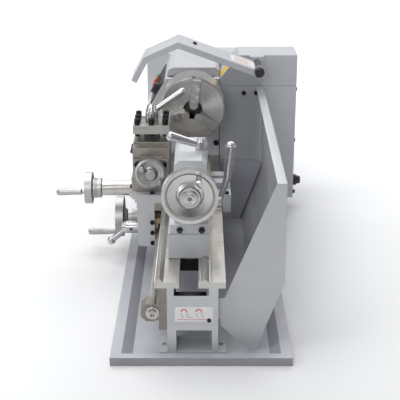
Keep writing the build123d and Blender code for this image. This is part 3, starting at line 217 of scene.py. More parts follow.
def tray_enamel_with_slope_shade(name, colour):
    """Enamel of the chip tray, with painted shade: its sloping inner walls are drawn darker than rim and floor."""
    s = Shader(name, colour, 0.36)
    s.set("Specular IOR Level", 0.5)
    s.set("Coat Weight", 0.15)
    s.set("Coat Roughness", 0.25)
    geometry = s.add("ShaderNodeNewGeometry")
    normal_for_slope_shade = s.add("ShaderNodeSeparateXYZ")
    s.wire(geometry.outputs["True Normal"], normal_for_slope_shade.inputs[0])
    # painted shade: faces tilted away from level, the sloping inner walls, take about 0.52 to 0.60 of the enamel's
    # colour
    level = s.ramp(normal_for_slope_shade.outputs[2], 0.72, 0.97)
    drift = s.ramp(s.noise(10.0, 4.0), 0.3, 0.7)
    flat = s.mix(drift, shade(colour, 0.96), shade(colour, 1.05))
    slope = s.mix(drift, shade(colour, 0.52), shade(colour, 0.60))
    grime = s.ramp(s.noise(55.0, 6.0, rough=0.7), 0.5, 0.78, 0.0, 0.4)
    s.base(s.mix(grime, s.mix(level, slope, flat), shade(colour, 0.78)))
    s.rough(s.ramp(s.noise(24.0, 5.0), 0.3, 0.7, 0.30, 0.48))
    s.bump(s.noise(420.0, 2.0), 0.12, 0.0004)
    return s.material


def radius_from(s, centre, axis):
    """Distance from a line through centre along X, Y or Z, and the position along it."""
    out = s.axes()
    names = [n for n in "XYZ" if n != axis]
    squares = []
    for n in names:
        away = s.math("SUBTRACT", out[n], centre["XYZ".index(n)])
        squares.append(s.math("MULTIPLY", away, away))
    return s.math("SQRT", s.math("ADD", *squares)), out[axis]


def turned_steel(name, colour, centre, axis, roughness, stain=0.0):
    """Lathe-turned metal: fine concentric tool marks and the fanned sheen that they give."""
    s = Shader(name, colour, roughness, 1.0)
    radius, along = radius_from(s, centre, axis)
    combine = s.add("ShaderNodeCombineXYZ")
    s.wire(s.math("MULTIPLY", radius, 2600.0), combine.inputs[0])
    s.wire(s.math("MULTIPLY", along, 1800.0), combine.inputs[1])
    cuts = s.noise(1.0, 2.0, combine.outputs[0])
    tone = s.mix(s.ramp(cuts, 0.25, 0.75), shade(colour, 0.84), shade(colour, 1.08))
    smear = s.ramp(s.noise(60.0, 5.0, rough=0.65), 0.45, 0.8, 0.0, 0.3)
    tone = s.mix(smear, tone, shade(colour, 0.72))
    if stain:
        rust = s.ramp(s.noise(85.0, 6.0, rough=0.7), 0.6, 0.75, 0.0, stain)
        tone = s.mix(rust, tone, (0.30, 0.20, 0.12))
    s.base(tone)
    s.rough(s.ramp(cuts, 0.2, 0.8, roughness - 0.07, roughness + 0.10))
    s.bump(cuts, 0.16, 0.00012)
    # tangent that runs round the axis, for the sheen
    place = s.add("ShaderNodeVectorMath", operation="SUBTRACT")
    s.wire(s.object_space, place.inputs[0])
    place.inputs[1].default_value = centre
    cross = s.add("ShaderNodeVectorMath", operation="CROSS_PRODUCT")
    cross.inputs[0].default_value = tuple(1.0 if n == axis else 0.0 for n in "XYZ")
    s.wire(place.outputs[0], cross.inputs[1])
    turn = s.add("ShaderNodeVectorTransform")
    turn.vector_type = "VECTOR"
    turn.convert_from = "OBJECT"
    turn.convert_to = "WORLD"
    s.wire(cross.outputs[0], turn.inputs[0])
    unit = s.add("ShaderNodeVectorMath", operation="NORMALIZE")
    s.wire(turn.outputs[0], unit.inputs[0])
    s.set("Anisotropic", 0.88)
    s.wire(unit.outputs[0], s.shader.inputs["Tangent"])
    return s.material


def ground_steel(name, colour, stain=0.35):
    """Ground or milled metal: fine streaks along X, patches of oil and a little rust."""
    s = Shader(name, colour, 0.30, 1.0)
    scale = (14, 900, 900)
    streaks = s.noise(1.0, 3.0, s.stretched(scale))
    coarse = s.noise(1.0, 3.0, s.stretched(tuple(v * 0.22 for v in scale)))
    tone = s.mix(s.ramp(streaks, 0.25, 0.75), shade(colour, 0.80), shade(colour, 1.10))
    tone = s.mix(s.ramp(coarse, 0.4, 0.75, 0.0, 0.5), tone, shade(colour, 0.74))
    rust = s.ramp(s.noise(26.0, 7.0, rough=0.72), 0.54, 0.74, 0.0, stain)
    s.base(s.mix(rust, tone, (0.42, 0.27, 0.14)))
    s.rough(s.ramp(s.noise(45.0, 5.0), 0.25, 0.75, 0.24, 0.46))
    s.bump(streaks, 0.18, 0.00012)
    return s.material


def tool_post_steel_slot_shaded(name, colour):
    """Steel ground along Y, with painted shade: the core between the tool slots is drawn near black."""
    s = Shader(name, colour, 0.32, 0.95)
    streaks = s.noise(1.0, 3.0, s.stretched((900, 14, 900)))
    tone = s.mix(s.ramp(streaks, 0.25, 0.75), shade(colour, 0.80), shade(colour, 1.10))
    tone = s.mix(s.ramp(s.noise(30.0, 6.0, rough=0.7), 0.52, 0.74, 0.0, 0.25), tone, (0.40, 0.28, 0.17))
    # painted shade: near black inside the box round the core between the tool slots
    out = s.axes()
    away = []
    for name_of_axis, centre in zip("XYZ", TOOLPOST_SLOTS):
        away.append(s.math("ABSOLUTE", s.math("SUBTRACT", out[name_of_axis], centre)))
    in_shaded_hollow = s.math("LESS_THAN", s.math("MAXIMUM", away[0], away[1]), TOOLPOST_SHADED_CORE[0])
    in_shaded_hollow = s.math("MULTIPLY", in_shaded_hollow, s.math("LESS_THAN", away[2], TOOLPOST_SHADED_CORE[1]))
    s.base(s.mix(in_shaded_hollow, tone, (0.085, 0.085, 0.088)))
    s.rough(s.ramp(s.noise(45.0, 5.0), 0.25, 0.75, 0.26, 0.48))
    s.bump(streaks, 0.18, 0.00012)
    return s.material


def cast_iron(name, colour, roughness=0.42):
    """Bare machined iron, darker and duller than steel, with pores and oily patches."""
    s = Shader(name, colour, roughness, 0.85)
    pores = s.ramp(s.noise(900.0, 3.0), 0.62, 0.72)
    streaks = s.noise(1.0, 3.0, s.stretched((40, 700, 700)))
    tone = s.mix(s.ramp(streaks, 0.2, 0.8), shade(colour, 0.8), shade(colour, 1.18))
    patch = s.ramp(s.noise(34.0, 5.0, rough=0.7), 0.45, 0.75, 0.0, 0.55)
    tone = s.mix(patch, tone, (0.33, 0.27, 0.22))
    s.base(s.mix(s.ramp(pores, 0.0, 1.0, 0.0, 0.6), tone, shade(colour, 0.45)))
    s.rough(s.ramp(s.noise(60.0, 4.0), 0.3, 0.7, roughness - 0.08, roughness + 0.15))
    s.bump(s.noise(500.0, 4.0), 0.22, 0.0002)
    return s.material


def polished(name, colour, roughness):
    """Bright plated steel with faint buffing swirls and finger marks."""
    s = Shader(name, colour, roughness, 1.0)
    swirl = s.noise(90.0, 3.0)
    marks = s.ramp(s.noise(55.0, 6.0, rough=0.7), 0.5, 0.75, 0.0, 0.4)
    s.base(s.mix(marks, shade(colour, 1.02), shade(colour, 0.8)))
    s.rough(s.ramp(swirl, 0.3, 0.7, roughness - 0.02, roughness + 0.06))
    s.bump(s.noise(2400.0, 2.0), 0.03, 0.00004)
    return s.material


def moulded(name, colour, roughness, texture=0.1):
    """Moulded plastic or rubber with a fine spark-eroded texture."""
    s = Shader(name, colour, roughness)
    s.base(s.mix(s.ramp(s.noise(50.0, 4.0), 0.3, 0.7), shade(colour, 0.85), shade(colour, 1.2)))
    s.rough(s.ramp(s.noise(90.0, 4.0), 0.3, 0.7, roughness - 0.05, roughness + 0.12))
    s.bump(s.noise(1400.0, 2.0), texture, 0.0002)
    return s.material


def blackened(name):
    """Black oxide with worn grey patches."""
    oxide = (0.022, 0.022, 0.025)
    s = Shader(name, oxide, 0.34, 0.65)
    worn = s.ramp(s.noise(420.0, 5.0, rough=0.7), 0.56, 0.72, 0.0, 0.55)
    s.base(s.mix(worn, oxide, (0.14, 0.14, 0.145)))
    s.rough(s.ramp(s.noise(260.0, 3.0), 0.3, 0.7, 0.26, 0.5))
    s.bump(s.noise(900.0, 2.0), 0.12, 0.0002)
    return s.material


def printed(name, colour):
    """Ink or foil of a label, very slightly uneven."""
    s = Shader(name, colour, 0.45)
    s.base(s.mix(s.ramp(s.noise(120.0, 4.0), 0.3, 0.7), shade(colour, 0.94), shade(colour, 1.04)))
    s.bump(s.noise(500.0, 2.0), 0.04, 0.0002)
    return s.material


def bed_metal_with_cavity_shade():
    """The bed: ground ways on top, grey paint below, patches of rust and bare filler, and painted shade that draws
    the hollow between the side walls black.
    """
    s = Shader("bed_finish_and_cavity_shade", (0.5, 0.5, 0.5), 0.3)
    out = s.axes()
    paint = (0.560, 0.572, 0.592)
    steel = (0.600, 0.585, 0.555)
    streaks = s.noise(1.0, 3.0, s.stretched((10, 900, 900)))
    bright = s.mix(s.ramp(streaks, 0.25, 0.75), shade(steel, 0.78), shade(steel, 1.12))
    rust = s.ramp(s.noise(22.0, 7.0, rough=0.72), 0.50, 0.72, 0.0, 0.55)
    bright = s.mix(rust, bright, (0.44, 0.30, 0.17))
    drift = s.mix(s.ramp(s.noise(16.0, 5.0), 0.3, 0.7), shade(paint, 0.93), shade(paint, 1.04))
    specks = s.ramp(s.noise(240.0, 4.0, rough=0.7), 0.62, 0.72, 0.0, 0.5)
    drift = s.mix(specks, drift, (0.30, 0.27, 0.24))
    top = s.ramp(out["Z"], WAY_PAINT_Z - 0.0002, WAY_PAINT_Z + 0.0002)
    colour = s.mix(top, drift, bright)
    # painted shade: inner faces between the side walls, below the ways and short of the end, are drawn black for
    # the shadowed hollow
    in_shaded_hollow = s.math("LESS_THAN", s.math("ABSOLUTE", s.math("ADD", out["Y"], GAP_MIDDLE)), GAP_HALF)
    not_end = s.math("LESS_THAN", out["X"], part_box("bed")[1].x - 0.0004)
    lower = s.math("LESS_THAN", out["Z"], WAY_Z - 0.0006)
    cavity_shade = s.math("MULTIPLY", s.math("MULTIPLY", in_shaded_hollow, not_end), lower)
    s.base(s.mix(cavity_shade, colour, (0.004, 0.004, 0.004)))
    s.wire(s.math("MULTIPLY", top, s.math("SUBTRACT", 1.0, cavity_shade)), s.shader.inputs["Metallic"])
    s.rough(s.ramp(s.noise(40.0, 5.0), 0.3, 0.7, 0.26, 0.5))
    skin = s.bump(s.noise(150.0, 6.0, rough=0.65), 0.22, 0.0007)
    s.bump(streaks, 0.12, 0.0001, skin)
    return s.material


PAINT = (0.590, 0.602, 0.622)
SHEET_PAINT = (0.520, 0.530, 0.556)
STEEL = (0.72, 0.70, 0.675)

MATERIALS = {
    "casting": painted("casting_paint", PAINT, 0.42, cast=True),
    "sheet": painted("sheet_paint", SHEET_PAINT, 0.36, grain=0.09),
    "tray": tray_enamel_with_slope_shade("tray_paint_slope_shaded", (0.500, 0.505, 0.550)),
    # painted shade: the fan duct gets a darker, bluer copy of the sheet paint for the shadowed hollow behind the
    # bed
    "duct": painted("duct_paint_darkened_for_shade", (0.455, 0.462, 0.512), 0.34, grain=0.09),
    "bed": bed_metal_with_cavity_shade(),
    "ground": ground_steel("ground_steel", (0.60, 0.59, 0.565)),
    "gear": ground_steel("cut_gear_steel", (0.42, 0.41, 0.39), stain=0.2),
    "iron": cast_iron("machined_iron", (0.40, 0.375, 0.345)),
    "bracket": cast_iron("bracket_iron", (0.30, 0.275, 0.25), 0.5),
    "bright": polished("plated_steel", (0.56, 0.56, 0.57), 0.24),
    "black": blackened("black_oxide"),
    "brass": ground_steel("machined_brass", (0.50, 0.38, 0.24), stain=0.2),
    "rubber": moulded("belt_rubber", (0.018, 0.018, 0.018), 0.6, 0.3),
    "plastic": moulded("black_plastic", (0.020, 0.020, 0.022), 0.38),
    "red": moulded("red_plastic", (0.52, 0.02, 0.015), 0.25, 0.05),
    "green": moulded("green_plastic", (0.02, 0.25, 0.05), 0.3, 0.05),
    "motor": painted("motor_paint", (0.035, 0.035, 0.038), 0.4, cast=True),
    "white_label": printed("label_white", (0.80, 0.79, 0.79)),
    "red_ink": printed("label_red", (0.60, 0.10, 0.08)),
    "grey_ink": printed("label_grey", (0.30, 0.30, 0.32)),
    "yellow": printed("label_yellow", (0.80, 0.52, 0.04)),
    "chuck": turned_steel("chuck_turned", STEEL, AXIS, "X", 0.30),
    "spindle": turned_steel("spindle_turned", (0.55, 0.54, 0.52), AXIS, "X", 0.3),
    "tail_wheel": turned_steel("tailstock_wheel_turned", (0.62, 0.61, 0.60), AXIS, "X", 0.24),
    "quill": turned_steel("quill_ground", STEEL, AXIS, "X", 0.22),
}
for node, axis in (("carriage_handwheel", "Y"), ("cross_handwheel", "Y"), ("compound_handwheel", "X")):
    place = tuple(joint_place(BODY_OF[node]))
    MATERIALS[node] = turned_steel(f"{node}_turned", (0.46, 0.455, 0.45), place, axis, 0.30)
SCREW_STEEL = (0.62, 0.60, 0.57)
MATERIALS["leadscrew"] = turned_steel("leadscrew_turned", SCREW_STEEL, LEADSCREW_AT, "X", 0.3, stain=0.3)
MATERIALS["tool_post"] = tool_post_steel_slot_shaded("tool_post_steel_slot_shaded", (0.50, 0.485, 0.46))

NODE_LOOK = {
    "chip_tray": "tray", "bed_feet": "casting", "bed": "bed", "carriage_rack": "gear",
    "leadscrew_brackets": "bracket", "headstock_housing": "casting", "headstock_lid": "sheet",
    "spindle_bearings": "gear", "control_panel": "plastic", "end_plate": "casting", "gear_cover": "sheet",
    "drive_motor": "motor", "drive_belt": "rubber", "rear_box": "sheet", "cable_gland": "plastic",
    "splash_guard": "sheet", "fan_duct": "duct", "frame_screws": "black", "spindle": "spindle",
    "chuck_backplate": "iron", "chuck_body": "chuck",
    "spindle_pulley_and_gear": "gear", "chuck_scroll": "gear",
    "chuck_jaw_1": "ground", "chuck_jaw_2": "ground", "chuck_jaw_3": "ground", "motor_shaft_pulley": "gear",
    "idler_gear": "gear", "leadscrew_and_gear": "leadscrew",
    "guard_hood": "sheet", "guard_pivot_rod": "plastic",
    "speed_knob": "plastic", "stop_button": "red", "start_button": "green", "saddle": "casting",
    "apron": "casting", "saddle_keepers": "iron", "cross_screw_housing": "ground", "carriage_screws": "black",
    "carriage_handwheel": "carriage_handwheel", "rack_pinion_shaft": "gear", "half_nut_lever": "bright",
    "half_nut_upper": "brass", "half_nut_lower": "brass", "cross_handwheel": "cross_handwheel",
    "cross_slide": "iron", "cross_feed_nut": "brass", "compound_base": "iron",
    "compound_handwheel": "compound_handwheel", "top_slide": "iron", "toolpost": "tool_post",
    "toolpost_screws": "black", "toolpost_lever": "bright", "tailstock_base": "casting",
    "tailstock_body": "casting", "tailstock_clamp": "iron", "tailstock_handwheel": "tail_wheel",
    "tailstock_quill": "quill", "quill_lock_lever": "bright", "tailstock_clamp_lever": "bright",
}


# ---------------------------------------------------------------- mesh helpers
def add_piece(name, mesh, body, look):
    piece = bpy.data.objects.new(name, mesh)
    bpy.context.collection.objects.link(piece)
    mesh.materials.clear()
    mesh.materials.append(MATERIALS[look])
    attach(piece, body)
    return piece


def from_bmesh(name, bm, body, look):
    mesh = bpy.data.meshes.new(name)
    bmesh.ops.recalc_face_normals(bm, faces=bm.faces)
    bm.to_mesh(mesh)
    bm.free()
    mesh.shade_smooth()
    mesh.set_sharp_from_angle(angle=SMOOTH_ANGLE)
    return add_piece(name, mesh, body, look)


def islands(bm):
    """Groups of connected faces."""
    left = set(bm.faces)
    while left:
        todo = [left.pop()]
        found = set(todo)
        while todo:
            for edge in todo.pop().edges:
                for face in edge.link_faces:
                    if face in left:
                        left.discard(face)
                        found.add(face)
                        todo.append(face)
        yield found


def finished(node, bevel):
    """A copy of a CAD node with its edges broken, as a fitter would."""
    bm = bmesh.new()
    bm.from_mesh(frame["nodes"][node].data)
    bmesh.ops.remove_doubles(bm, verts=bm.verts, dist=WELD)
    bmesh.ops.dissolve_limit(bm, angle_limit=math.radians(1.0), verts=bm.verts, edges=bm.edges)
    mesh = bpy.data.meshes.new(f"{node}_finished")
    bm.to_mesh(mesh)
    bm.free()
    mesh.shade_smooth()
    mesh.set_sharp_from_angle(angle=EDGE_ANGLE)
    piece = add_piece(f"{node}_finished", mesh, BODY_OF[node], NODE_LOOK[node])
    edge = piece.modifiers.new("broken_edges", "BEVEL")
    edge.width = bevel
    edge.segments = 2
    edge.limit_method = "ANGLE"
    edge.angle_limit = EDGE_ANGLE
    edge.use_clamp_overlap = True
    edge.harden_normals = True
    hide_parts(node)


BEVELS = {
    "chip_tray": 0.8, "bed_feet": 0.9, "bed": 0.5, "leadscrew_brackets": 0.7, "headstock_housing": 1.4,
    "headstock_lid": 1.2, "control_panel": 0.5, "end_plate": 0.6, "rear_box": 0.6,
    "splash_guard": 0.35, "fan_duct": 0.4, "guard_hood": 0.35, "saddle": 0.6, "apron": 0.9,
    "cross_screw_housing": 0.5, "cross_slide": 0.5, "compound_base": 0.6, "top_slide": 0.5, "toolpost": 0.5,
    "tailstock_base": 0.8, "tailstock_body": 1.2, "tailstock_clamp": 0.5, "chuck_body": 0.4,
    "chuck_jaw_1": 0.4, "chuck_jaw_2": 0.4, "chuck_jaw_3": 0.4, "saddle_keepers": 0.4,
}
for node, look in NODE_LOOK.items():
    if node in BEVELS:
        finished(node, BEVELS[node] * MM)
    else:
        materials = frame["nodes"][node].data.materials
        materials.clear()
        materials.append(MATERIALS[look])


# ---------------------------------------------------------------- fasteners
def basis(way):
    """A frame whose Z runs along way."""
    return Vector(way).to_track_quat("Z", "Y").to_matrix().to_4x4()


def ring_points(radius, count, turn=0.0):
    step = 2 * math.pi / count
    return [(radius * math.cos(turn + i * step), radius * math.sin(turn + i * step)) for i in range(count)]


def stack(bm, place, rings):
    """Skins a pile of (points, height) rings and closes both ends; every ring has as many points."""
    rows = []
    for points, height in rings:
        rows.append([bm.verts.new(place @ Vector((x, y, height))) for x, y in points])
    for below, above in zip(rows, rows[1:]):
        for i in range(len(below)):
            j = (i + 1) % len(below)
            bm.faces.new((below[i], below[j], above[j], above[i]))
    bm.faces.new(rows[0][::-1])
    bm.faces.new(rows[-1])


def hexagon(radius, count):
    """A hexagon drawn with this many points, so that it can join a round ring."""
    points = []
    for i in range(count):
        angle = 2 * math.pi * i / count
        local = (angle + math.pi / 6) % (math.pi / 3) - math.pi / 6
        reach = radius * math.cos(math.pi / 6) / math.cos(local)
        points.append((reach * math.cos(angle), reach * math.sin(angle)))
    return points


def cap_head(bm, at, way, radius, height, knurls=24):
    """A knurled socket head: ribbed side, rounded rim and a hexagon socket."""
    place = Matrix.Translation(Vector(at)) @ basis(way)
    count = knurls * 4
    plain = ring_points(radius, count)
    ribbed = []
    for i, (x, y) in enumerate(plain):
        scale = 1.0 if i % 4 < 2 else 0.955
        ribbed.append((x * scale, y * scale))
    inner = ring_points(radius * 0.86, count)
    hexed = hexagon(radius * 0.56, count)
    stack(bm, place, [
        (ring_points(radius * 0.93, count), 0.0), (ribbed, height * 0.06), (ribbed, height * 0.82),
        (ring_points(radius * 0.95, count), height * 0.93), (inner, height),
        (hexagon(radius * 0.60, count), height), (hexed, height * 0.96), (hexed, height * 0.45),
    ])


def tube(bm, at, way, rings, count=48):
    """A turned form: (radius, height) rings about a line."""
    place = Matrix.Translation(Vector(at)) @ basis(way)
    stack(bm, place, [(ring_points(r, count), h) for r, h in rings])


def screw_group(name, body, heads, replaces=None):
    bm = bmesh.new()
    for at, way, radius, height in heads:
        cap_head(bm, at, way, radius * MM, height * MM)
    piece = from_bmesh(name, bm, body, "black")
    if replaces:
        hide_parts(replaces)


def solid_boxes(node):
    """Low and high corner of every loose solid of a CAD node."""
    bm = bmesh.new()
    bm.from_mesh(frame["nodes"][node].data)
    bmesh.ops.remove_doubles(bm, verts=bm.verts, dist=WELD)
    boxes = []
    for faces in islands(bm):
        points = [v.co for face in faces for v in face.verts]
        low = Vector([min(p[i] for p in points) for i in range(3)])
        high = Vector([max(p[i] for p in points) for i in range(3)])
        boxes.append((low, high))
    bm.free()
    return boxes


def heads_along(node, axis, face, way, radius, height):
    """Cap heads for the loose solids of a node that reach this face."""
    found = []
    index = "XYZ".index(axis)
    for low, high in solid_boxes(node):
        if not low[index] - 0.0004 <= face <= high[index] + 0.0004:
            continue
        at = (low + high) / 2
        at[index] = face
        found.append((tuple(at), way, radius, height))
    return found


def make_fasteners():
    """Socket screws in place of the plain ones, each where its CAD solid stands."""
    frame_heads = []
    for axis, face, way, radius, height in (
        ("X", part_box("headstock_housing")[1].x, RIGHT, 4.5, 4.0),
        ("X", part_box("bed")[1].x, RIGHT, 2.6, 1.6),
        ("X", BOX_FACE_X, RIGHT, 3.5, 2.5),
        ("Y", SPLASH_SCREW_Y, BACK, 4.5, 4.0),
        ("Y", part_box("rear_box")[1].y, BACK, 3.2, 2.2),
        ("Z", FOOT_BRIDGE_Z, DOWN, 4.5, 4.5),
    ):
        frame_heads += heads_along("frame_screws", axis, face, way, radius, height)
    screw_group("frame_cap_screws", "machine_frame", frame_heads, replaces="frame_screws")

    carriage_heads = []
    for axis, face, way, radius, height in (
        ("X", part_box("apron")[1].x, RIGHT, 3.2, 3.6),
        ("Y", CARRIAGE_FRONT_Y, FRONT, 2.4, 3.0),
        ("Z", SADDLE_TOP_Z, UP, 3.2, 3.5),
    ):
        carriage_heads += heads_along("carriage_screws", axis, face, way, radius, height)
    screw_group("carriage_cap_screws", "carriage", carriage_heads, replaces="carriage_screws")

    # these heads stand over the plain ones that are part of the casting's own node
    post = middle("toolpost")
    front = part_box("toolpost")[0].y
    bracket = []
    for side in (-1, 1):
        at = (BRACKET_FACE_X, post.y + side * BRACKET_SCREW_OFFSET, BRACKET_SCREW_Z)
        bracket.append((at, RIGHT, 4.2, 4.3))
    screw_group("compound_cap_screws", "compound", bracket)
    clamp = [((TAIL_FACE_X, y, TAIL_SCREW_Z), RIGHT, 3.8, 3.9) for y in TAIL_SCREWS_Y]
    screw_group("tailstock_cap_screws", "tailstock", clamp)
    gib = []
    for step in (-1, 0, 1):
        at = (post.x + GIB_SCREW_PITCH * step, front, GIB_SCREW_Z)
        gib.append((at, FRONT, 2.8, 5.3))
    screw_group("gib_cap_screws", "top_slide", gib)


def make_toolpost_screws():
    """Eight clamp screws: a grooved shank and a knurled socket head."""
    head, steps = 7.5 * MM, 20
    bm = bmesh.new()
    for low, high in solid_boxes("toolpost_screws"):
        x, y, _ = (low + high) / 2
        bottom, top = low.z, high.z - head
        rings = []
        for i in range(steps + 1):
            radius = 3.45 if i % 2 else 3.0
            rings.append((radius * MM, (top - bottom) * i / steps))
        tube(bm, (x, y, bottom), UP, rings, 24)
        cap_head(bm, (x, y, top), UP, 4.3 * MM, high.z - top, 20)
    piece = from_bmesh("toolpost_clamp_screws", bm, "toolpost", "black")
    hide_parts("toolpost_screws")


# ---------------------------------------------------------------- flat plates, labels and marks
def plate(bm, corners, lift):
    """A thin slab: an outline lifted along its normal, open edges closed."""
    points = [Vector(c) for c in corners]
    normal = (points[1] - points[0]).cross(points[2] - points[0]).normalized()
    low = [bm.verts.new(p) for p in points]
    high = [bm.verts.new(p + normal * lift) for p in points]
    bm.faces.new(low[::-1])
    bm.faces.new(high)
    for i in range(len(low)):
        j = (i + 1) % len(low)
        bm.faces.new((low[i], low[j], high[j], high[i]))


def rounded_rect(width, height, radius, steps=4):
    """Outline of a rounded rectangle about the origin."""
    points = []
    for cx, cy, start in ((1, 1, 0), (-1, 1, 90), (-1, -1, 180), (1, -1, 270)):
        for i in range(steps + 1):
            angle = math.radians(start + 90 * i / steps)
            points.append((
                cx * (width / 2 - radius) + radius * math.cos(angle),
                cy * (height / 2 - radius) + radius * math.sin(angle),
            ))
    return points


class Panel:
    """A flat place on the machine, for drawing plates and marks in its own (across, up) millimetres."""

    def __init__(self, origin, across, up):
        self.origin = Vector(origin)
        self.across = Vector(across).normalized()
        self.up = Vector(up).normalized()
        self.out = self.across.cross(self.up)

    def at(self, u, v, lift=0.0):
        return self.origin + self.across * u * MM + self.up * v * MM + self.out * lift * MM

    def slab(self, bm, outline, lift=0.0, thick=0.25):
        plate(bm, [self.at(u, v, lift) for u, v in outline], thick * MM)

    def bar(self, bm, a, b, width, lift=0.0, thick=0.15):
        (u0, v0), (u1, v1) = a, b
        length = math.hypot(u1 - u0, v1 - v0)
        du, dv = -(v1 - v0) / length * width / 2, (u1 - u0) / length * width / 2
        outline = [(u0 - du, v0 - dv), (u1 - du, v1 - dv), (u1 + du, v1 + dv), (u0 + du, v0 + dv)]
        self.slab(bm, outline, lift, thick)

    def arc(self, bm, centre, radius, start, end, width, lift=0.0, thick=0.15, steps=10):
        outer, inner = [], []
        for i in range(steps + 1):
            angle = math.radians(start + (end - start) * i / steps)
            for ring, r in ((outer, radius + width / 2), (inner, radius - width / 2)):
                ring.append((centre[0] + r * math.cos(angle), centre[1] + r * math.sin(angle)))
        for i in range(steps):
            self.slab(bm, [inner[i], outer[i], outer[i + 1], inner[i + 1]], lift, thick)


def make_labels():
    """Generic labels on the bed's end, the rear box and the chuck guard."""
    end = Panel((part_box("bed")[1].x, *BED_LABEL_YZ), BACK, UP)
    bm = bmesh.new()
    end.slab(bm, rounded_rect(46, 20, 1.5))
    from_bmesh("bed_label", bm, "machine_frame", "white_label")
    # two pictograms and a line of dashes, drawn without any lettering
    red, grey = bmesh.new(), bmesh.new()
    for u in (-12.0, 6.0):
        end.arc(red, (u, 3.0), 3.6, 10, 170, 1.5, 0.25)
        end.bar(grey, (u - 3.4, 1.5), (u - 1.2, -4.5), 0.5, 0.25)
        end.bar(grey, (u + 1.0, 2.2), (u + 3.8, 2.2), 0.5, 0.25)
        end.bar(grey, (u + 3.8, 2.2), (u + 4.6, -4.5), 0.5, 0.25)
    end.bar(grey, (-7.0, -4.0), (0.0, -4.0), 0.5, 0.25)
    for i in range(17):
        end.bar(red, (-19 + i * 2.3, -7.0), (-17.4 + i * 2.3, -7.0), 0.8, 0.25)
    from_bmesh("bed_label_red", red, "machine_frame", "red_ink")
    from_bmesh("bed_label_grey", grey, "machine_frame", "grey_ink")

    # warning plate on the chamfer of the rear box
    slope = Panel(BOX_LABEL_AT, LEFT, (0, 30, 38))
    bm = bmesh.new()
    slope.slab(bm, rounded_rect(36, 26, 1.0))
    from_bmesh("box_warning_plate", bm, "machine_frame", "yellow")
    bm = bmesh.new()
    slope.bar(bm, (-8, -7), (0, 8), 1.0, 0.25)
    slope.bar(bm, (0, 8), (8, -7), 1.0, 0.25)
    slope.bar(bm, (8, -7), (-8, -7), 1.0, 0.25)
    slope.bar(bm, (0, 4), (0, -2), 1.2, 0.25)
    from_bmesh("box_warning_mark", bm, "machine_frame", "grey_ink")

    # guard label on the hood's first panel
    along = HOOD_PIVOT - HOOD_BEND
    hood = Panel(HOOD_BEND + along * 0.80, (0, along.y, along.z), LEFT)
    bm = bmesh.new()
    hood.slab(bm, rounded_rect(38, 40, 1.5), 0.02)
    from_bmesh("guard_label", bm, "chuck_guard", "white_label")
    bm = bmesh.new()
    for row in range(5):
        hood.bar(bm, (-14, 13 - row * 6.5), (14 - 5 * (row % 2), 13 - row * 6.5), 1.1, 0.27)
    from_bmesh("guard_label_lines", bm, "chuck_guard", "red_ink")


def make_graduations():
    """Engraved ticks round the collars of the feed screws."""
    cross = joint_place("cross_wheel")
    jobs = [
        ("cross_collar_ticks", "cross_wheel", (cross[0], -0.1375, cross[2]), FRONT, 14.5, 60, 3.5),
        ("compound_collar_ticks", "compound_wheel", (0.0705, -0.061, 0.156), LEFT, 10.4, 40, 2.6),
        ("tailstock_collar_ticks", "tailstock_wheel", (0.2755, AXIS[1], AXIS[2]), LEFT, 13.5, 50, 3.5),
    ]
    for name, body, at, way, radius, count, length in jobs:
        bm = bmesh.new()
        place = Matrix.Translation(Vector(at)) @ basis(way)
        for i in range(count):
            turn = place @ Matrix.Rotation(2 * math.pi * i / count, 4, "Z")
            reach = length * (1.0 if i % 10 == 0 else 0.75 if i % 5 == 0 else 0.5) * MM
            half, r = 0.11 * MM, radius * MM
            corners = [(r, -half, 0), (r, half, 0), (r, half, reach), (r, -half, reach)]
            plate(bm, [turn @ Vector(c) for c in corners], 0.06 * MM)
        from_bmesh(name, bm, body, "black")


def knurled_ring(name, body, at, way, radius, width, ribs, look):
    """A knurled band pressed round a collar."""
    bm = bmesh.new()
    place = Matrix.Translation(Vector(at)) @ basis(way)
    count = ribs * 4
    rows = []
    levels = 6
    for level in range(levels + 1):
        points = []
        for i in range(count):
            angle = 2 * math.pi * (i + level * 0.5) / count
            r = radius * (1.0 if i % 4 < 2 else 0.965)
            points.append((r * math.cos(angle) * MM, r * math.sin(angle) * MM))
        rows.append((points, width * level / levels * MM))
    stack(bm, place, rows)
    from_bmesh(name, bm, body, look)


def make_knurls():
    """Knurled bands on three collars: radius and width in millimetres, then the number of ribs."""
    hand, cross = joint_place("carriage_wheel"), joint_place("cross_wheel")
    hand_at, cross_at = (hand[0], -0.0845, hand[2]), (cross[0], -0.1425, cross[2])
    tail_at = (0.2665, AXIS[1], AXIS[2])
    for name, body, at, way, radius, width, ribs, look in (
        ("carriage", "carriage_wheel", hand_at, FRONT, 12.35, 10.5, 46, "carriage_handwheel"),
        ("cross", "cross_wheel", cross_at, FRONT, 14.85, 5.5, 54, "cross_handwheel"),
        ("tailstock", "tailstock_wheel", tail_at, RIGHT, 13.9, 5.0, 50, "tail_wheel"),
    ):
        knurled_ring(f"{name}_collar_knurl", body, at, way, radius, width, ribs, look)


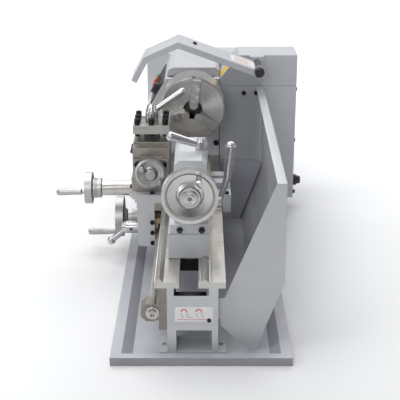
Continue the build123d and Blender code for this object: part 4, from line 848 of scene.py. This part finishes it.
def make_wheel_details():
    """Slot in the tailstock handle's end, and turned rings with a dimple on the wheel's hub."""
    y = AXIS[1] + TAIL_HANDLE_R * math.cos(TAIL_HANDLE_ANGLE)
    z = AXIS[2] + TAIL_HANDLE_R * math.sin(TAIL_HANDLE_ANGLE)
    face = Panel((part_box("tailstock_handwheel")[1].x, y, z), BACK, UP)
    bm = bmesh.new()
    face.bar(bm, (-2.8, 2.8), (2.8, -2.8), 1.1, -0.1, 0.16)
    from_bmesh("tailstock_handle_slot", bm, "tailstock_wheel", "black")
    bm = bmesh.new()
    for radius, x in HUB_RINGS:
        outline = [(radius, 0), (radius, 0.5), (radius - 0.7, 0.9), (radius - 1.6, 0.2)]
        tube(bm, (x, AXIS[1], AXIS[2]), RIGHT, [(r * MM, h * MM) for r, h in outline], 64)
    from_bmesh("tailstock_hub_rings", bm, "tailstock_wheel", "tail_wheel")
    bm = bmesh.new()
    dimple = [(2.4 * MM, 0), (2.4 * MM, 0.25 * MM), (1.4 * MM, 0.1 * MM)]
    tube(bm, (HUB_END_X, AXIS[1], AXIS[2]), RIGHT, dimple, 24)
    from_bmesh("tailstock_hub_centre", bm, "tailstock_wheel", "black")


def make_small_parts():
    """Lock nut on the leadscrew, bolt on the hood, set screw of the half-nut lever and tailstock seam."""
    bm = bmesh.new()
    y, z = LEADSCREW_AT[1], LEADSCREW_AT[2]
    collar = [(8.4 * MM, 0), (8.4 * MM, 1.6 * MM), (7.9 * MM, 2.2 * MM), (5.8 * MM, 2.2 * MM)]
    tube(bm, (LEADSCREW_END_X, y, z), RIGHT, collar, 48)
    place = Matrix.Translation(Vector((LEADSCREW_END_X + 1.8 * MM, y, z))) @ basis(RIGHT)
    outer, inner = hexagon(5.9 * MM, 48), ring_points(2.9 * MM, 48)
    stack(bm, place, [(outer, 0), (outer, 3.2 * MM), (inner, 3.8 * MM), (inner, 0.6 * MM)])
    from_bmesh("leadscrew_lock_nut", bm, "leadscrew", "ground")

    hood_top = Vector((HOOD_MIDDLE_X, 0.0, 0.2986))
    lift = Vector((0.0, 45.0, 124.0)).normalized()
    bolt = (tuple(hood_top + lift * 0.3 * MM), tuple(lift), 3.2, 3.0)
    screw_group("hood_bolt", "chuck_guard", [bolt])

    lever = joint_place("half_nut_lever")
    side = [((lever[0] + 0.0089, -0.0925, lever[2]), RIGHT, 2.0, 0.5)]
    screw_group("half_nut_set_screw", "half_nut_lever", side)

    low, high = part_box("tailstock_base")
    bm = bmesh.new()
    end = Panel((high.x, (low.y + high.y) / 2, high.z), BACK, UP)
    half = (high.y - low.y) / 2 / MM - 0.6
    end.bar(bm, (-half, 0), (half, 0), 0.5, 0.0, 0.12)
    from_bmesh("tailstock_seam", bm, "tailstock", "black")


make_fasteners()
make_toolpost_screws()
make_small_parts()
make_labels()
make_graduations()
make_knurls()
make_wheel_details()


# ---------------------------------------------------------------- camera, floor, light
def look_along(obj, at, way):
    obj.location = at
    obj.rotation_mode = "QUATERNION"
    obj.rotation_quaternion = Vector(way).to_track_quat("-Z", "Y")


CAMERA_AT = (1.3358, 0.0105, 0.5943)
CAMERA_PITCH, CAMERA_YAW = 0.3625, 0.0015    # radians, down and to the front
SENSOR, LENS = 36.0, 85.6                    # millimetres


def make_camera():
    data = bpy.data.cameras.new("camera")
    data.sensor_width = SENSOR
    data.lens = LENS
    camera = bpy.data.objects.new("camera", data)
    bpy.context.collection.objects.link(camera)
    level = math.cos(CAMERA_PITCH)
    way = (-level * math.cos(CAMERA_YAW), -level * math.sin(CAMERA_YAW), -math.sin(CAMERA_PITCH))
    look_along(camera, CAMERA_AT, way)
    bpy.context.scene.camera = camera


def make_floor():
    bpy.ops.mesh.primitive_plane_add(size=14.0, location=(0, 0, -0.0004))
    floor = bpy.context.object
    floor.name = "studio_floor"
    s = Shader("studio_floor", (0.90, 0.90, 0.90), 0.75)
    s.base(s.mix(s.ramp(s.noise(1.5, 2.0), 0.3, 0.7), (0.895, 0.895, 0.895), (0.905, 0.905, 0.905)))
    floor.data.materials.append(s.material)


def make_lights():
    world = bpy.data.worlds.new("studio")
    bpy.context.scene.world = world
    world.use_nodes = True
    background = world.node_tree.nodes["Background"]
    background.inputs["Color"].default_value = (0.95, 0.97, 1.0, 1.0)
    background.inputs["Strength"].default_value = 0.42
    boxes = [
        ("top_box", (0.2, -0.5, 1.6), (-0.1, 0.3, -1.0), 0.9, 8.0),
        ("left_box", (0.9, -1.6, 1.0), (-0.5, 1.0, -0.45), 0.8, 5.0),
        ("right_box", (0.9, 1.6, 0.7), (-0.55, -1.0, -0.25), 0.5, 1.2),
        ("front_box", (2.2, -0.5, 1.2), (-1.0, 0.25, -0.45), 0.7, 6.5),
        ("back_wash", (-2.0, 0.0, 1.9), (0.0, 0.0, -1.0), 2.8, 60.0),
    ]
    for name, at, way, size, power in boxes:
        data = bpy.data.lights.new(name, "AREA")
        data.shape = "SQUARE"
        data.size = size
        data.energy = power
        light = bpy.data.objects.new(name, data)
        bpy.context.collection.objects.link(light)
        look_along(light, at, way)
    bpy.context.scene.view_settings.view_transform = "Standard"


def make_flags():
    """Black cards beside and behind the camera, which the bright metal mirrors as dark streaks."""
    for name, at, size in (
        ("flag_left", (1.7, -1.0, 0.55), (0.5, 1.3)),
        ("flag_right", (1.7, 1.1, 0.5), (0.6, 1.3)),
        ("flag_low", (1.75, 0.0, 0.16), (0.9, 0.22)),
    ):
        bm = bmesh.new()
        outline = rounded_rect(size[0] / MM, size[1] / MM, 20)
        card = Panel(at, BACK, UP)
        card.slab(bm, outline, 0.0, 4.0)
        mesh = bpy.data.meshes.new(name)
        bmesh.ops.recalc_face_normals(bm, faces=bm.faces)
        bm.to_mesh(mesh)
        bm.free()
        mesh.materials.append(MATERIALS["rubber"])
        flag = bpy.data.objects.new(name, mesh)
        bpy.context.collection.objects.link(flag)


make_camera()
make_floor()
make_lights()
make_flags()
